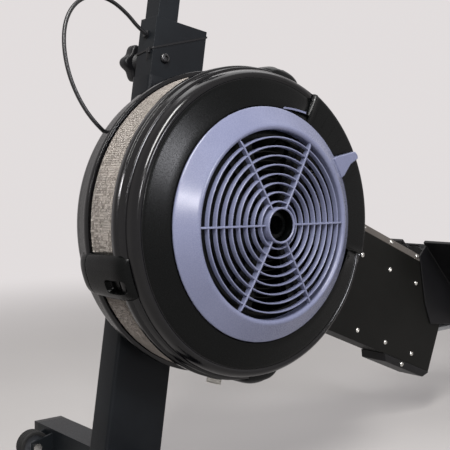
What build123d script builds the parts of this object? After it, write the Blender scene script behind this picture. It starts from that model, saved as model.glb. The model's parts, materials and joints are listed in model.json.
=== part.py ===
from build123d import *

import os
from math import asin, atan2, cos, degrees, pi, radians, sin, tan

# Air rowing machine. Millimetres, +X towards the rower, -Y towards the damper side, +Z up.
# The side view is measured from the fan axis: dx towards the rower, dz up.

# Whole machine
HUB_HEIGHT = 480.0
REAR_REACH = 2150.0
STAND_WIDTH = 600.0
RUN_GAP = 0.3
SHAFT_GAP = 0.06
SEAT_GAP = 0.2
FIT_GAP = 0.02

# Front post, a leaning rectangular tube, and the fork in its top
POST_LEAN = 8.25
POST_DX = -70.0
POST_WIDTH = 120.0
POST_DEPTH = 56.0
POST_WALL = 3.0
POST_TOP = 255.0
FORK_WALL = 4.0
FORK_TOP = 362.0
FORK_DEEP = 75.0
PIVOT_P = -30.0
PIVOT_Q = 291.0
PIVOT_R = 6.0

# Fan housing: radii, and heights measured outwards from the dial's rim plane
FACE_STANDOFF = 210.0
DIAL_R = 195.0
GRILLE_R = 155.0
VENT_R = 150.0
FACE_R = 244.0
FACE_DROP = 15.0
ROLL_WIDTH = 14.0
LIP_STEP = 8.0
MESH_WALL = 1.5
MESH_WIDTH = 72.0
LIP_DROP = 63.0
COVER_WALL = 3.0
TRACK_DEPTH = 5.0
TRACK_RISE = 2.5
TRACK_FROM = -14.0
TRACK_TO = 61.0
BACK_HOLE_R = 34.0
BACK_GAP = 15.0
CLAMP_ANGLES = (75.0, 197.0, 274.0, 340.0)
CLAMP_STEP = 11.0
CLAMP_SPAN = 17.0

# Damper dial
DIAL_HUB_R = 25.5
DIAL_HUB_WALL = 4.5
DIAL_BORE_R = 21.5
DIAL_CROWN = 26.5
DIAL_HUB_TOP = 32.5
RING_COUNT = 8
RING_FIRST_R = 38.8
RING_PITCH = 15.0
RING_WALL = 2.2
RING_DEPTH = 9.0
SPOKE_COUNT = 6
SPOKE_WALL = 3.2
BAR_ARC = 24.0
DIAL_HUB_FLOOR = 5.0
LEVER_ANGLE = 30.0
LEVER_REACH = 243.0

# Flywheel and drive
AXLE_R = 10.0
AXLE_NOSE = -22.0
BEARING_R = 24.0
BEARING_WALL = 10.0
FAN_GAP = 18.0
BLADE_COUNT = 24
BLADE_WALL = 3.0
WHEEL_R = 200.0
WHEEL_WALL = 10.0
SPOOL_R = 45.0
SPOOL_FLANGE = 9.0
STRAP_WIDTH = 30.0
STRAP_WALL = 2.0
ROLLER_R = 11.0
ROLLER_PIN_R = 4.0
ROLLER_DX = 735.0
ROLLER_Z = 322.0

# Main beam, a box of two side plates that slopes down towards the rower
BEAM_SLOPE = 22.0
BEAM_TOP = 146.0
BEAM_BOTTOM = -89.0
BEAM_START = -110.0
BEAM_END = 800.0
BEAM_PLATE = 4.0
CAP_HEIGHT = 22.0
CAP_END = 740.0
BOLT_PITCH = 102.0
BOLT_R = 5.5
BOLT_ROWS = (516.0, 468.0, 461.0)
BOLT_INSETS = (24.0, 52.0)
SKID_START = 622.0
SKID_DROP = 17.0

# Rail
RAIL_DX = 640.0
RAIL_TOP = 284.0
RAIL_RISE = 1.2
RAIL_WIDTH = 56.0
RAIL_HEIGHT = 96.0
RAIL_WEB = 24.0
RAIL_FLANGE = 10.0
TRACK_WALL = 1.5
BEAM_OVERLAP = 160.0
END_CAP = 10.0

# Seat
SEAT_DX = 1120.0
STOP_INSET = 55.0
SEAT_LENGTH = 280.0
SEAT_WIDTH = 340.0
SEAT_PAD = 40.0
SEAT_CORNER = 70.0
SEAT_ROLLER_R = 16.0
KEEPER_R = 8.0
ROLLER_SPREAD = 60.0
SEAT_PIN_R = 4.0
KEEPER_PIN_R = 3.0
CARRIAGE_HALF = 95.0

# Stands
STAB_DEPTH = 60.0
STAB_HEIGHT = 50.0
PAD_HEIGHT = 14.0
PAD_R = 24.0
CAP_LENGTH = 22.0
WHEEL_ROLL_R = 30.0
WHEEL_WIDTH = 24.0
WHEEL_BOLT_R = 5.0
REAR_INSET = 110.0
REAR_STAND = 460.0
LEG_PLATE = 4.0

# Foot rests
BOARD_LENGTH = 300.0
BOARD_TILT = 46.0
BOARD_WIDTH = 120.0
BOARD_WALL = 8.0
STRAP_AT = 165.0
STRAP_ARCH = 72.0
TOE_DX = 690.0
TOE_Z = 415.0

# Handle
HANDLE_DX = 900.0
HANDLE_Z = 372.0
PULL_RISE = 11.0
HANDLE_WIDTH = 480.0
HANDLE_R = 11.0
HANDLE_HUB_R = 14.0
GRIP_R = 16.0

# Monitor
ARM_WIDTH = 44.0
ARM_TOP = 560.0
MONITOR = (38.0, 200.0, 150.0)
MONITOR_TILT = 12.0
MONITOR_GAP = 28.0
MONITOR_RAISE = 22.0
KNOB_R = 35.0
KNOB_LOBES = 5
KNOB_NECK = 26.0
KNOB_DEEP = 24.0
STUD_R = 5.0
STUD_REACH = 40.0

# Sensor lead: diameter, and its route from the gland in the far cover to the fork, measured from the gland
CABLE_D = 7.0
GLAND_LENGTH = 16.0
GLAND_INSET = 6.3
GLAND_ANGLE = 141.5
GROMMET_WALL = 4.0
GROMMET_Q = 332.0
CABLE_ROUTE = (
    (0, 0, 0), (-22, 1, 16), (-50, 4, 50), (-70, 9, 95), (-77, 15, 144), (-70, 21, 189),
    (-46, 27, 223), (-9, 33, 241), (31, 38, 237), (65, 41, 218), (88, 43, 198),
)

# Values that follow from the sizes above
SHOULDER_R = FACE_R + ROLL_WIDTH
MESH_R = SHOULDER_R
LIP_R = SHOULDER_R + LIP_STEP
CLAMP_R = LIP_R + CLAMP_STEP
FAN_R = MESH_R - FAN_GAP
CLAMP_EDGES = [angle + side * CLAMP_SPAN / 2 for angle in CLAMP_ANGLES for side in (-1, 1)]
FRONT_REACH = max(-CLAMP_R * cos(radians(edge)) for edge in CLAMP_EDGES)
HUB_X = (FRONT_REACH - REAR_REACH) / 2
REAR_LEG_DX = REAR_REACH - REAR_INSET
SEAT_TRAVEL = REAR_REACH - STOP_INSET - CARRIAGE_HALF - SEAT_DX
HALF_DEPTH = POST_DEPTH / 2
BEAM_HALF = HALF_DEPTH + BEAM_PLATE
FACE_Y = -(HALF_DEPTH + FACE_STANDOFF)
FAR_LIP = -(LIP_DROP + MESH_WIDTH)
HOUSING_BACK = BACK_GAP - FACE_STANDOFF
FACE_RISE = (FACE_DROP + 8.0) / (FACE_R - VENT_R)
STAND_TOP = PAD_HEIGHT + STAB_HEIGHT
FORK_FRONT = POST_WALL - POST_WIDTH / 2
CHEEK = HALF_DEPTH - POST_WALL - FORK_WALL


def hub(dx, dz):
    return HUB_X + dx, HUB_HEIGHT + dz


def post(p, q):
    """Side-view point measured across and up the leaning post."""
    lean = radians(POST_LEAN)
    return hub(POST_DX + q * sin(lean) + p * cos(lean), q * cos(lean) - p * sin(lean))


def beam(s, t):
    """Side-view point measured along and across the sloping beam."""
    slope = radians(BEAM_SLOPE)
    return hub(s * cos(slope) + t * sin(slope), t * cos(slope) - s * sin(slope))


def out(a):
    """Y of a height above the dial's rim plane."""
    return FACE_Y - a


def prism(points, y0, y1):
    outline = make_face(Polyline(*[(x, y0, z) for x, z in points], close=True))
    return extrude(outline, amount=y1 - y0, dir=(0, 1, 0))


def rod(point, radius, y0, y1):
    x, z = point
    return Pos(x, (y0 + y1) / 2, z) * Rot(90, 0, 0) * Cylinder(radius, abs(y1 - y0))


def spun(points, centre=(0.0, 0.0), arc=360.0, start=0.0):
    """Solid of (radius, y) points turned about an axis along Y; start and arc run from +X towards +Z."""
    outline = make_face(Polyline(*points, close=True))
    solid = revolve(outline, Axis.Y, arc)
    return Pos(centre[0], 0, centre[1]) * Rot(0, -start - (arc if arc < 360 else 0), 0) * solid


def ring(r_in, r_out, y0, y1, centre=None):
    if r_in <= 0:
        return rod(centre or hub(0, 0), r_out, min(y0, y1), max(y0, y1))
    return spun([(r_in, y0), (r_out, y0), (r_out, y1), (r_in, y1)], centre or hub(0, 0))


def polar(r, angle):
    return hub(r * cos(radians(angle)), r * sin(radians(angle)))


def group(*solids):
    return Compound(children=list(solids))


def toward(point, direction, shape):
    """Stand a shape built along +Z on a point, along a direction."""
    return Plane(origin=point, z_dir=direction) * shape


def button_head(point, direction, radius):
    return toward(point, direction, Pos(0, 0, radius * 0.3) * Cone(radius, radius * 0.6, radius * 0.6))


def on_rail(shape):
    return Pos(HUB_X + RAIL_DX, 0, RAIL_TOP) * Rot(0, -RAIL_RISE, 0) * shape


def rail_box(x0, x1, y0, y1, z0, z1):
    size = (x1 - x0, y1 - y0, z1 - z0)
    return Pos((x0 + x1) / 2, (y0 + y1) / 2, (z0 + z1) / 2) * Box(*size)


def board(u, n):
    """Side-view point measured up a foot board from its heel end, and off its face."""
    tilt = radians(BOARD_TILT)
    heel_dx = TOE_DX + BOARD_LENGTH * cos(tilt)
    heel_z = TOE_Z - BOARD_LENGTH * sin(tilt)
    return HUB_X + heel_dx - u * cos(tilt) + n * sin(tilt), heel_z + u * sin(tilt) + n * cos(tilt)


# Frame

def post_foot(p):
    lean = radians(POST_LEAN)
    return post(p, (STAND_TOP - HUB_HEIGHT + p * sin(lean)) / cos(lean))


def post_tube(half_width, half_depth):
    corners = [post_foot(-half_width), post_foot(half_width)]
    corners += [post(half_width, POST_TOP), post(-half_width, POST_TOP)]
    return prism(corners, -half_depth, half_depth)


def front_post():
    tube = post_tube(POST_WIDTH / 2, HALF_DEPTH)
    tube -= post_tube(POST_WIDTH / 2 - POST_WALL, HALF_DEPTH - POST_WALL)
    window = SPOOL_R + SPOOL_FLANGE + 6
    return tube - ring(0, window, -HALF_DEPTH, HALF_DEPTH)


def mast_fork():
    half_width = POST_WIDTH / 2 - POST_WALL
    half_depth = HALF_DEPTH - POST_WALL
    low = POST_TOP - FORK_DEEP

    def block(p0, p1, depth):
        return prism([post(p0, low), post(p1, low), post(p1, FORK_TOP), post(p0, FORK_TOP)], -depth, depth)

    fork = block(-half_width, half_width, half_depth)
    fork -= block(FORK_WALL - half_width, half_width + 1, half_depth - FORK_WALL)
    return fork - rod(post(PIVOT_P, PIVOT_Q), PIVOT_R + FIT_GAP, -half_depth, half_depth)


def pivot_bolt():
    """The mast's pivot: a head at the near cheek, and a stud beyond the far cheek that carries the knob."""
    half_depth = HALF_DEPTH - POST_WALL
    pin = post(PIVOT_P, PIVOT_Q)
    bolt = rod(pin, PIVOT_R, -half_depth, half_depth)
    head = button_head((pin[0], -half_depth, pin[1]), (0, -1, 0), PIVOT_R * 1.6)
    return bolt + head + rod(pin, STUD_R, half_depth, half_depth + STUD_REACH)


def beam_plate(side):
    corners = [(BEAM_START, BEAM_BOTTOM), (BEAM_END, BEAM_BOTTOM), (BEAM_END, BEAM_TOP - 46)]
    corners += [(CAP_END, BEAM_TOP), (BEAM_START, BEAM_TOP)]
    low, high = sorted((side * HALF_DEPTH, side * BEAM_HALF))
    plate = prism([beam(s, t) for s, t in corners], low, high)
    return plate - ring(0, AXLE_R + 3, low, high)


def post_clear(t):
    """Distance along the beam at which a line at height t clears the post's rear face."""
    angle = radians(BEAM_SLOPE) - radians(POST_LEAN)
    across = POST_WIDTH / 2 + POST_DX * cos(radians(POST_LEAN))
    return (across - t * sin(angle)) / cos(angle)


def beam_top_cap():
    start = post_clear(BEAM_TOP) + 1
    inner = CAP_HEIGHT - COVER_WALL
    x, z = beam(start, BEAM_TOP)
    across = Plane(origin=(x, 0, z), x_dir=(0, 1, 0), z_dir=beam_direction())

    def section(half, height):
        points = [(-half, 0), (half, 0), (half - height, height), (height - half, height)]
        return across * make_face(Polyline(*points, close=True))

    length = CAP_END - start
    cap = extrude(section(BEAM_HALF, CAP_HEIGHT), amount=length, dir=beam_direction())
    return cap - extrude(section(HALF_DEPTH, inner), amount=length, dir=beam_direction())


def beam_direction():
    return (cos(radians(BEAM_SLOPE)), 0, -sin(radians(BEAM_SLOPE)))


def beam_floor():
    start = post_clear(BEAM_BOTTOM) + 1
    corners = [(start, BEAM_BOTTOM), (BEAM_END, BEAM_BOTTOM)]
    corners += [(BEAM_END, BEAM_BOTTOM + BEAM_PLATE), (start, BEAM_BOTTOM + BEAM_PLATE)]
    return prism([beam(s, t) for s, t in corners], -HALF_DEPTH, HALF_DEPTH)


def beam_skid():
    low = BEAM_BOTTOM - SKID_DROP
    corners = [(SKID_START, BEAM_BOTTOM), (SKID_START + 10, low), (BEAM_END - 20, low)]
    corners += [(BEAM_END, BEAM_BOTTOM)]
    return prism([beam(s, t) for s, t in corners], -BEAM_HALF - 4, BEAM_HALF + 4)


def frame_bolts():
    heads = []
    for side in (-1, 1):
        face = side * BEAM_HALF
        places = [(BOLT_ROWS[0] + BOLT_PITCH * k, BEAM_BOTTOM + BOLT_INSETS[0]) for k in range(-4, 3)]
        places += [(BOLT_ROWS[1] + BOLT_PITCH * k, BEAM_TOP - BOLT_INSETS[1]) for k in range(-3, 3)]
        for s, t in places:
            x, z = beam(s, t)
            heads.append(button_head((x, face, z), (0, side, 0), BOLT_R))
        for k in range(-4, 3):
            x, z = beam(BOLT_ROWS[2] + BOLT_PITCH * k, BEAM_TOP + CAP_HEIGHT / 2)
            lift = cos(radians(BEAM_SLOPE))
            normal = (sin(radians(BEAM_SLOPE)), side, lift)
            heads.append(button_head((x, side * (BEAM_HALF - CAP_HEIGHT / 2), z), normal, BOLT_R))
        x, z = beam(SKID_START + 68, BEAM_BOTTOM - SKID_DROP / 2)
        heads.append(button_head((x, side * (BEAM_HALF + 4), z), (0, side, 0), BOLT_R))
    return group(*heads)


def stabiliser(centre_x, width):
    tube = Box(STAB_DEPTH, width, STAB_HEIGHT)
    tube -= Box(STAB_DEPTH - 2 * POST_WALL, width, STAB_HEIGHT - 2 * POST_WALL)
    return Pos(centre_x, 0, PAD_HEIGHT + STAB_HEIGHT / 2) * tube


def wheel_places():
    centre = post_foot(0)[0] - STAB_DEPTH / 2 - WHEEL_ROLL_R - 4
    spread = STAND_WIDTH / 2 - 2 * CAP_LENGTH - 20
    return [((centre, WHEEL_ROLL_R + 4), side * spread) for side in (-1, 1)]


def front_stabiliser():
    foot_x = post_foot(0)[0]
    tube = stabiliser(foot_x, STAND_WIDTH - 2 * CAP_LENGTH)
    for (x, z), y in wheel_places():
        for side in (-1, 1):
            near = y + side * (WHEEL_WIDTH / 2 + 2)
            far = y + side * (WHEEL_WIDTH / 2 + 7)
            arm = [(x - 10, z - 10), (foot_x - STAB_DEPTH / 2, z - 16), (foot_x - STAB_DEPTH / 2, z + 22)]
            arm += [(x - 10, z + 10)]
            lug = prism(arm, min(near, far), max(near, far))
            tube += lug - rod((x, z), WHEEL_BOLT_R + SHAFT_GAP, min(near, far), max(near, far))
    return tube


def wheel_axles():
    half = WHEEL_WIDTH / 2 + 7
    pins = []
    for point, y in wheel_places():
        pin = rod(point, WHEEL_BOLT_R, y - half - 4, y + half + 4)
        for side in (-1, 1):
            pin += rod(point, WHEEL_BOLT_R * 1.7, y + side * half, y + side * (half + 5))
        pins.append(pin)
    return group(*pins)


def transport_wheel(index):
    point, y = wheel_places()[index]
    half = WHEEL_WIDTH / 2
    wheel = spun([(WHEEL_BOLT_R + SHAFT_GAP, y - half - 1.6), (11, y - half - 1.6), (12, y - half + 3),
                  (WHEEL_ROLL_R - 7, y - half + 3), (WHEEL_ROLL_R - 6, y - half),
                  (WHEEL_ROLL_R - 2, y - half), (WHEEL_ROLL_R, y - half + 4),
                  (WHEEL_ROLL_R, y + half - 4), (WHEEL_ROLL_R - 2, y + half),
                  (WHEEL_ROLL_R - 6, y + half), (WHEEL_ROLL_R - 7, y + half - 3), (12, y + half - 3),
                  (11, y + half + 1.6), (WHEEL_BOLT_R + SHAFT_GAP, y + half + 1.6)], point)
    return wheel


def end_caps():
    caps = []
    for x, width in ((post_foot(0)[0], STAND_WIDTH), (HUB_X + REAR_LEG_DX, REAR_STAND)):
        for side in (-1, 1):
            block = Box(STAB_DEPTH, CAP_LENGTH, STAB_HEIGHT)
            outer = block.faces().sort_by(Axis.Y)[0 if side < 0 else -1]
            block = fillet(outer.edges(), 8)
            caps.append(Pos(x, side * (width - CAP_LENGTH) / 2, PAD_HEIGHT + STAB_HEIGHT / 2) * block)
    return group(*caps)


def foot_pads():
    pads = []
    for x, width in ((post_foot(0)[0], STAND_WIDTH), (HUB_X + REAR_LEG_DX, REAR_STAND)):
        for side in (-1, 1):
            pad = Cone(PAD_R, PAD_R - 4, PAD_HEIGHT)
            pads.append(Pos(x, side * (width / 2 - CAP_LENGTH - 40), PAD_HEIGHT / 2) * pad)
    return group(*pads)


def rail_length():
    rise = radians(RAIL_RISE)
    return (REAR_REACH - RAIL_DX - RAIL_HEIGHT * sin(rise)) / cos(rise) - END_CAP


def rail():
    half, web = RAIL_WIDTH / 2, RAIL_WEB / 2
    low = -RAIL_HEIGHT
    right = [(half, 0), (half, -RAIL_FLANGE), (web, -RAIL_FLANGE - 4), (web, low + RAIL_FLANGE + 4)]
    right += [(half, low + RAIL_FLANGE), (half, low)]
    section = [(0, y, z) for y, z in right] + [(0, -y, z) for y, z in reversed(right)]
    return on_rail(extrude(make_face(Polyline(*section, close=True)), amount=rail_length(), dir=(1, 0, 0)))


def rail_track():
    half = RAIL_WIDTH / 2 - 3
    start = BEAM_OVERLAP
    return on_rail(rail_box(start, rail_length(), -half, half, 0, TRACK_WALL))


def rail_end_cap():
    half = RAIL_WIDTH / 2
    cap = rail_box(rail_length(), rail_length() + END_CAP, -half, half, -RAIL_HEIGHT, 0)
    return on_rail(cap)


def rail_stops():
    half = RAIL_WIDTH / 2 - 6
    front = SEAT_DX - RAIL_DX - CARRIAGE_HALF
    rear = front + 2 * CARRIAGE_HALF + SEAT_TRAVEL
    stops = [(front - 20, front - RUN_GAP), (rear + RUN_GAP, rear + 20)]
    return group(*[on_rail(rail_box(x0, x1, -half, half, TRACK_WALL, TRACK_WALL + 30)) for x0, x1 in stops])


def rail_underside(x):
    rise = radians(RAIL_RISE)
    return RAIL_TOP - RAIL_HEIGHT / cos(rise) + (x - HUB_X - RAIL_DX) * tan(rise)


def rear_leg():
    x = HUB_X + REAR_LEG_DX

    def block(half_length, half_width, low, drop):
        x0, x1 = x - half_length, x + half_length
        high0, high1 = rail_underside(x0) - drop, rail_underside(x1) - drop
        return prism([(x0, low), (x1, low), (x1, high1), (x0, high0)], -half_width, half_width)

    foot = stabiliser(x, REAR_STAND - 2 * CAP_LENGTH)
    leg = block(25, 25, STAND_TOP - 1, 0)
    hollow = block(25 - POST_WALL, 25 - POST_WALL, STAND_TOP - POST_WALL - 1, LEG_PLATE)
    plate = block(55, RAIL_WIDTH / 2, rail_underside(x) - 2 * LEG_PLATE, 0)
    return foot + leg + plate - hollow


# Fan housing

def near_cover():
    lip = -LIP_DROP
    base = -FACE_DROP - TRACK_DEPTH
    seat = MESH_R + SEAT_GAP
    inner_edge = base + FACE_RISE * (FACE_R - VENT_R)
    shell = [(VENT_R, inner_edge), (FACE_R, base), (FACE_R + 6, base - 0.5), (SHOULDER_R - 2, base - 5)]
    shell += [(SHOULDER_R, lip + 30), (LIP_R - 4, lip + 29), (LIP_R - 4, lip + 14), (LIP_R, lip + 13)]
    shell += [(LIP_R, lip), (seat, lip), (seat, lip + 22), (SHOULDER_R - 4, lip + 26)]
    shell += [(SHOULDER_R - 5, base - 8), (FACE_R, base - COVER_WALL - 1), (VENT_R, inner_edge - COVER_WALL)]
    cover = spun([(r, out(a)) for r, a in shell], hub(0, 0))
    rim = DIAL_R + 1.5
    face = FACE_RISE * (FACE_R - rim)
    raised = [(rim, base + face - 1.5), (rim, face - FACE_DROP), (FACE_R, -FACE_DROP)]
    raised += [(FACE_R + 1.5, -FACE_DROP - 1.5), (FACE_R + 5, 2.5 - FACE_DROP)]
    raised += [(SHOULDER_R - 4, 1.5 - FACE_DROP)]
    raised += [(SHOULDER_R - 0.5, -FACE_DROP - 3.5), (SHOULDER_R, -FACE_DROP - 15)]
    raised += [(SHOULDER_R - 3.5, base - 8), (FACE_R, base - 1.5)]
    arc = TRACK_TO - TRACK_FROM
    cover += spun([(r, out(a)) for r, a in raised], hub(0, 0), 360 - arc, TRACK_TO)
    edge = TRACK_RISE - FACE_DROP
    track = [(rim, base + face - 1.5), (rim, base + face), (SHOULDER_R - 2, edge), (SHOULDER_R, edge - 5)]
    track += [(SHOULDER_R, -FACE_DROP - 15), (SHOULDER_R - 3.5, base - 8), (FACE_R, base - 1.5)]
    return cover + spun([(r, out(a)) for r, a in track], hub(0, 0), arc, TRACK_FROM)


def far_cover():
    lip = FAR_LIP
    back = HOUSING_BACK
    seat = MESH_R + SEAT_GAP
    shell = [(seat, lip), (LIP_R, lip), (LIP_R, lip - 13), (LIP_R - 4, lip - 14), (LIP_R - 4, lip - 29)]
    shell += [(SHOULDER_R, lip - 30), (SHOULDER_R - 0.5, lip - 44), (SHOULDER_R - 4, lip - 49)]
    shell += [(FACE_R + 5, lip - 50), (FACE_R + 1.5, lip - 47), (FACE_R, lip - 48), (FACE_R - 64, back)]
    shell += [(BACK_HOLE_R, back), (BACK_HOLE_R, back + COVER_WALL), (FACE_R - 64, back + COVER_WALL)]
    shell += [(FACE_R, lip - 44), (SHOULDER_R - 5, lip - 43), (SHOULDER_R - 4, lip - 26), (seat, lip - 22)]
    return spun([(r, out(a)) for r, a in shell], hub(0, 0))


def mesh_band():
    return ring(MESH_R - MESH_WALL, MESH_R, out(15 - LIP_DROP), out(FAR_LIP - 15))


def vent_guard():
    edge = VENT_R - SEAT_GAP
    guard = ring(edge - 7, edge, out(-8), out(2))
    guard += ring(DIAL_BORE_R - 6, DIAL_BORE_R - SHAFT_GAP, out(-6), out(DIAL_HUB_FLOOR + 12))
    bars = 360 / SPOKE_COUNT
    for k in range(SPOKE_COUNT):
        bar = [(DIAL_BORE_R - 5, out(-6)), (edge - 3, out(-6))]
        bar += [(edge - 3, out(-3)), (DIAL_BORE_R - 5, out(-3))]
        guard += spun(bar, hub(0, 0), BAR_ARC, k * bars - BAR_ARC / 2)
    for k in range(RING_COUNT - 2):
        r = RING_FIRST_R + RING_PITCH * (k + 0.5)
        guard += ring(r - 1, r + 1, out(-6), out(-2))
    return guard


def housing_clamps():
    base = LIP_R + SEAT_GAP
    near, far = 27 - LIP_DROP, FAR_LIP - 27
    section = [(base, near), (CLAMP_R - 5, near), (CLAMP_R, near - 8)]
    section += [(CLAMP_R, far + 8), (CLAMP_R - 5, far), (base, far)]
    return group(*[spun([(r, out(a)) for r, a in section], hub(0, 0), CLAMP_SPAN, angle - CLAMP_SPAN / 2)
                   for angle in CLAMP_ANGLES])


def cover_standoffs():
    back = out(HOUSING_BACK)
    feet = [(post(5, 110), -BEAM_HALF), (post(-5, -130), -HALF_DEPTH)]
    feet += [(beam(110, 60), -BEAM_HALF), (beam(170, -30), -BEAM_HALF)]
    return group(*[rod(point, 9, back, face) for point, face in feet])


# Damper

def damper_dial():
    def crown(r):
        return DIAL_CROWN - 5 * (r / VENT_R) ** 2

    def floor(r):
        return -FACE_DROP - TRACK_DEPTH + FACE_RISE * (FACE_R - r) + RUN_GAP

    inside = VENT_R + 2
    rim = [(inside, floor(inside)), (DIAL_R, floor(DIAL_R)), (DIAL_R, -1.2), (DIAL_R - 1.2, 0)]
    rim += [(GRILLE_R + 2, 20.8), (GRILLE_R - 1, crown(GRILLE_R)), (inside, crown(GRILLE_R) - 1)]
    pocket = [(inside + 3, floor(inside) - 2), (DIAL_R - 3, floor(DIAL_R) - 2), (DIAL_R - 3, -2.4)]
    pocket += [(GRILLE_R + 2, 17.6), (inside + 3, 18.4)]
    dial = spun([(r, out(a)) for r, a in rim], hub(0, 0)) - spun([(r, out(a)) for r, a in pocket], hub(0, 0))
    dial += ring(DIAL_HUB_R, DIAL_HUB_R + DIAL_HUB_WALL, out(DIAL_HUB_FLOOR), out(DIAL_HUB_TOP))
    dial += ring(DIAL_BORE_R, DIAL_HUB_R + 1, out(DIAL_HUB_FLOOR), out(DIAL_HUB_FLOOR + 8))
    for k in range(RING_COUNT):
        r = RING_FIRST_R + RING_PITCH * k
        dial += ring(r - RING_WALL / 2, r + RING_WALL / 2, out(crown(r) - RING_DEPTH), out(crown(r)))
    low = crown(inside) - RING_DEPTH
    blade = [(DIAL_HUB_R + 1, out(low)), (inside + 1, out(low)), (inside + 1, out(crown(inside) - 1))]
    blade += [(DIAL_HUB_R + 1, out(DIAL_CROWN - 0.5))]
    spoke = extrude(make_face(Polyline(*blade, close=True)), amount=SPOKE_WALL / 2, both=True)
    for k in range(SPOKE_COUNT):
        dial += Pos(*hub_point()) * Rot(0, -k * 360 / SPOKE_COUNT, 0) * spoke
    rows = [(DIAL_R - 7, -5.5), (DIAL_R + 2, -5), (DIAL_R + 25, -2), (LEVER_REACH - 1, -2)]
    rows += [(LEVER_REACH + 1, -0.5), (LEVER_REACH - 2, 1.5), (LEVER_REACH - 11, 2.2)]
    rows += [(DIAL_R, 6.3), (DIAL_R - 7, 6.5)]
    return dial + prism([polar(r, LEVER_ANGLE + da) for r, da in rows], out(6), out(-5))


def hub_point():
    x, z = hub(0, 0)
    return x, 0, z


def damper_shutter():
    plate = [(DIAL_BORE_R + 0.5, DIAL_HUB_FLOOR - 1.5), (VENT_R - 2, DIAL_HUB_FLOOR - 1.5)]
    plate += [(VENT_R - 2, DIAL_HUB_FLOOR), (DIAL_BORE_R + 0.5, DIAL_HUB_FLOOR)]
    low, high = out(DIAL_HUB_FLOOR - 1.5), out(DIAL_HUB_FLOOR)
    shutter = ring(DIAL_BORE_R + 0.5, DIAL_HUB_R + DIAL_HUB_WALL, low, high)
    shutter += ring(VENT_R - 8, VENT_R - 2, low, high)
    for k in range(SPOKE_COUNT):
        middle = k * 360 / SPOKE_COUNT
        shutter += spun([(r, out(a)) for r, a in plate], hub(0, 0), BAR_ARC, middle - BAR_ARC / 2)
    return shutter


# Flywheel and drive

def axle():
    return rod(hub(0, 0), AXLE_R, out(AXLE_NOSE), BEAM_HALF + BEARING_WALL + 4)


def axle_bearings():
    bore = AXLE_R + SHAFT_GAP
    near = ring(bore, BEARING_R, -BEAM_HALF - BEARING_WALL, -BEAM_HALF)
    far = ring(bore, BEARING_R, BEAM_HALF, BEAM_HALF + BEARING_WALL)
    return group(near, far)


def fan_wheel():
    web = -LIP_DROP - MESH_WIDTH - 11
    fan = ring(AXLE_R + FIT_GAP, 38, out(web - 6), out(-60))
    fan += ring(37, FAN_R - 5, out(web), out(web + 4))
    for k in range(BLADE_COUNT):
        blade = Pos((FAN_R + 110) / 2, (out(web + 2) + out(-LIP_DROP + 2)) / 2, 0)
        blade = blade * Rot(0, 25, 0) * Box(FAN_R - 118, abs(web + LIP_DROP), BLADE_WALL)
        fan += Pos(*hub_point()) * Rot(0, 360 * k / BLADE_COUNT, 0) * blade
    return fan


def flywheel_disc():
    web = -LIP_DROP - MESH_WIDTH - 11
    return ring(60, WHEEL_R, out(web), out(web - WHEEL_WALL))


def drive_spool():
    half = STRAP_WIDTH / 2
    spool = ring(AXLE_R + SHAFT_GAP, SPOOL_R, -half - 1, half + 1)
    for side in (-1, 1):
        low, high = sorted((side * (half + 1), side * (half + 3)))
        spool += ring(AXLE_R + SHAFT_GAP, SPOOL_R + SPOOL_FLANGE, low, high)
    return spool + ring(AXLE_R + SHAFT_GAP, 16, -HALF_DEPTH + 0.5, HALF_DEPTH - 0.5)


def recoil_case():
    return ring(20, SPOOL_R + 4, STRAP_WIDTH / 2 + 4, HALF_DEPTH)


def roller_point():
    return HUB_X + ROLLER_DX, ROLLER_Z


def guide_roller():
    half = STRAP_WIDTH / 2 + 4
    return ring(ROLLER_PIN_R + SHAFT_GAP, ROLLER_R, -half, half, roller_point())


def roller_pin():
    return rod(roller_point(), ROLLER_PIN_R, -HALF_DEPTH, HALF_DEPTH)


def strap_lines():
    """Middle lines of the strap: spool to roller, and roller to handle, with their directions."""
    spool, roller = Vector(*hub(0, 0)), Vector(*roller_point())
    handle = Vector(HUB_X + HANDLE_DX - HANDLE_HUB_R - 0.5, HANDLE_Z)
    ride = RUN_GAP + STRAP_WALL / 2
    inner = roller - spool
    inner_angle = atan2(inner.Y, inner.X) - asin((SPOOL_R + ROLLER_R + 2 * ride) / inner.length)
    outer = handle - roller
    outer_angle = atan2(outer.Y, outer.X) + asin((ROLLER_R + ride) / outer.length)

    def side(angle):
        return Vector(-sin(angle), cos(angle))

    run = (spool + side(inner_angle) * (SPOOL_R + ride), roller - side(inner_angle) * (ROLLER_R + ride))
    pull = (roller - side(outer_angle) * (ROLLER_R + ride), handle)
    return run, pull, inner_angle, outer_angle


def band(start, end):
    along = (end - start).normalized()
    off = Vector(-along.Y, along.X) * (STRAP_WALL / 2)
    corners = [start + off, end + off, end - off, start - off]
    return prism([(v.X, v.Y) for v in corners], -STRAP_WIDTH / 2, STRAP_WIDTH / 2)


def strap_run():
    run, _, inner_angle, outer_angle = strap_lines()
    half = STRAP_WIDTH / 2
    low, high = ROLLER_R + RUN_GAP, ROLLER_R + RUN_GAP + STRAP_WALL
    wrap = [(low, -half), (high, -half), (high, half), (low, half)]
    start = degrees(inner_angle) - 90
    return band(*run) + spun(wrap, roller_point(), degrees(outer_angle - inner_angle), start)


def pull_strap():
    return band(*strap_lines()[1])


# Handle

def handle_point():
    return HUB_X + HANDLE_DX, HANDLE_Z


def handle_bar():
    half = HANDLE_WIDTH / 2
    bar = rod(handle_point(), HANDLE_R, 5 - half, half - 5) + rod(handle_point(), HANDLE_HUB_R, -45, 45)
    return bar - rod(handle_point(), HANDLE_R - POST_WALL, 5 - half, half - 5)


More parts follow.
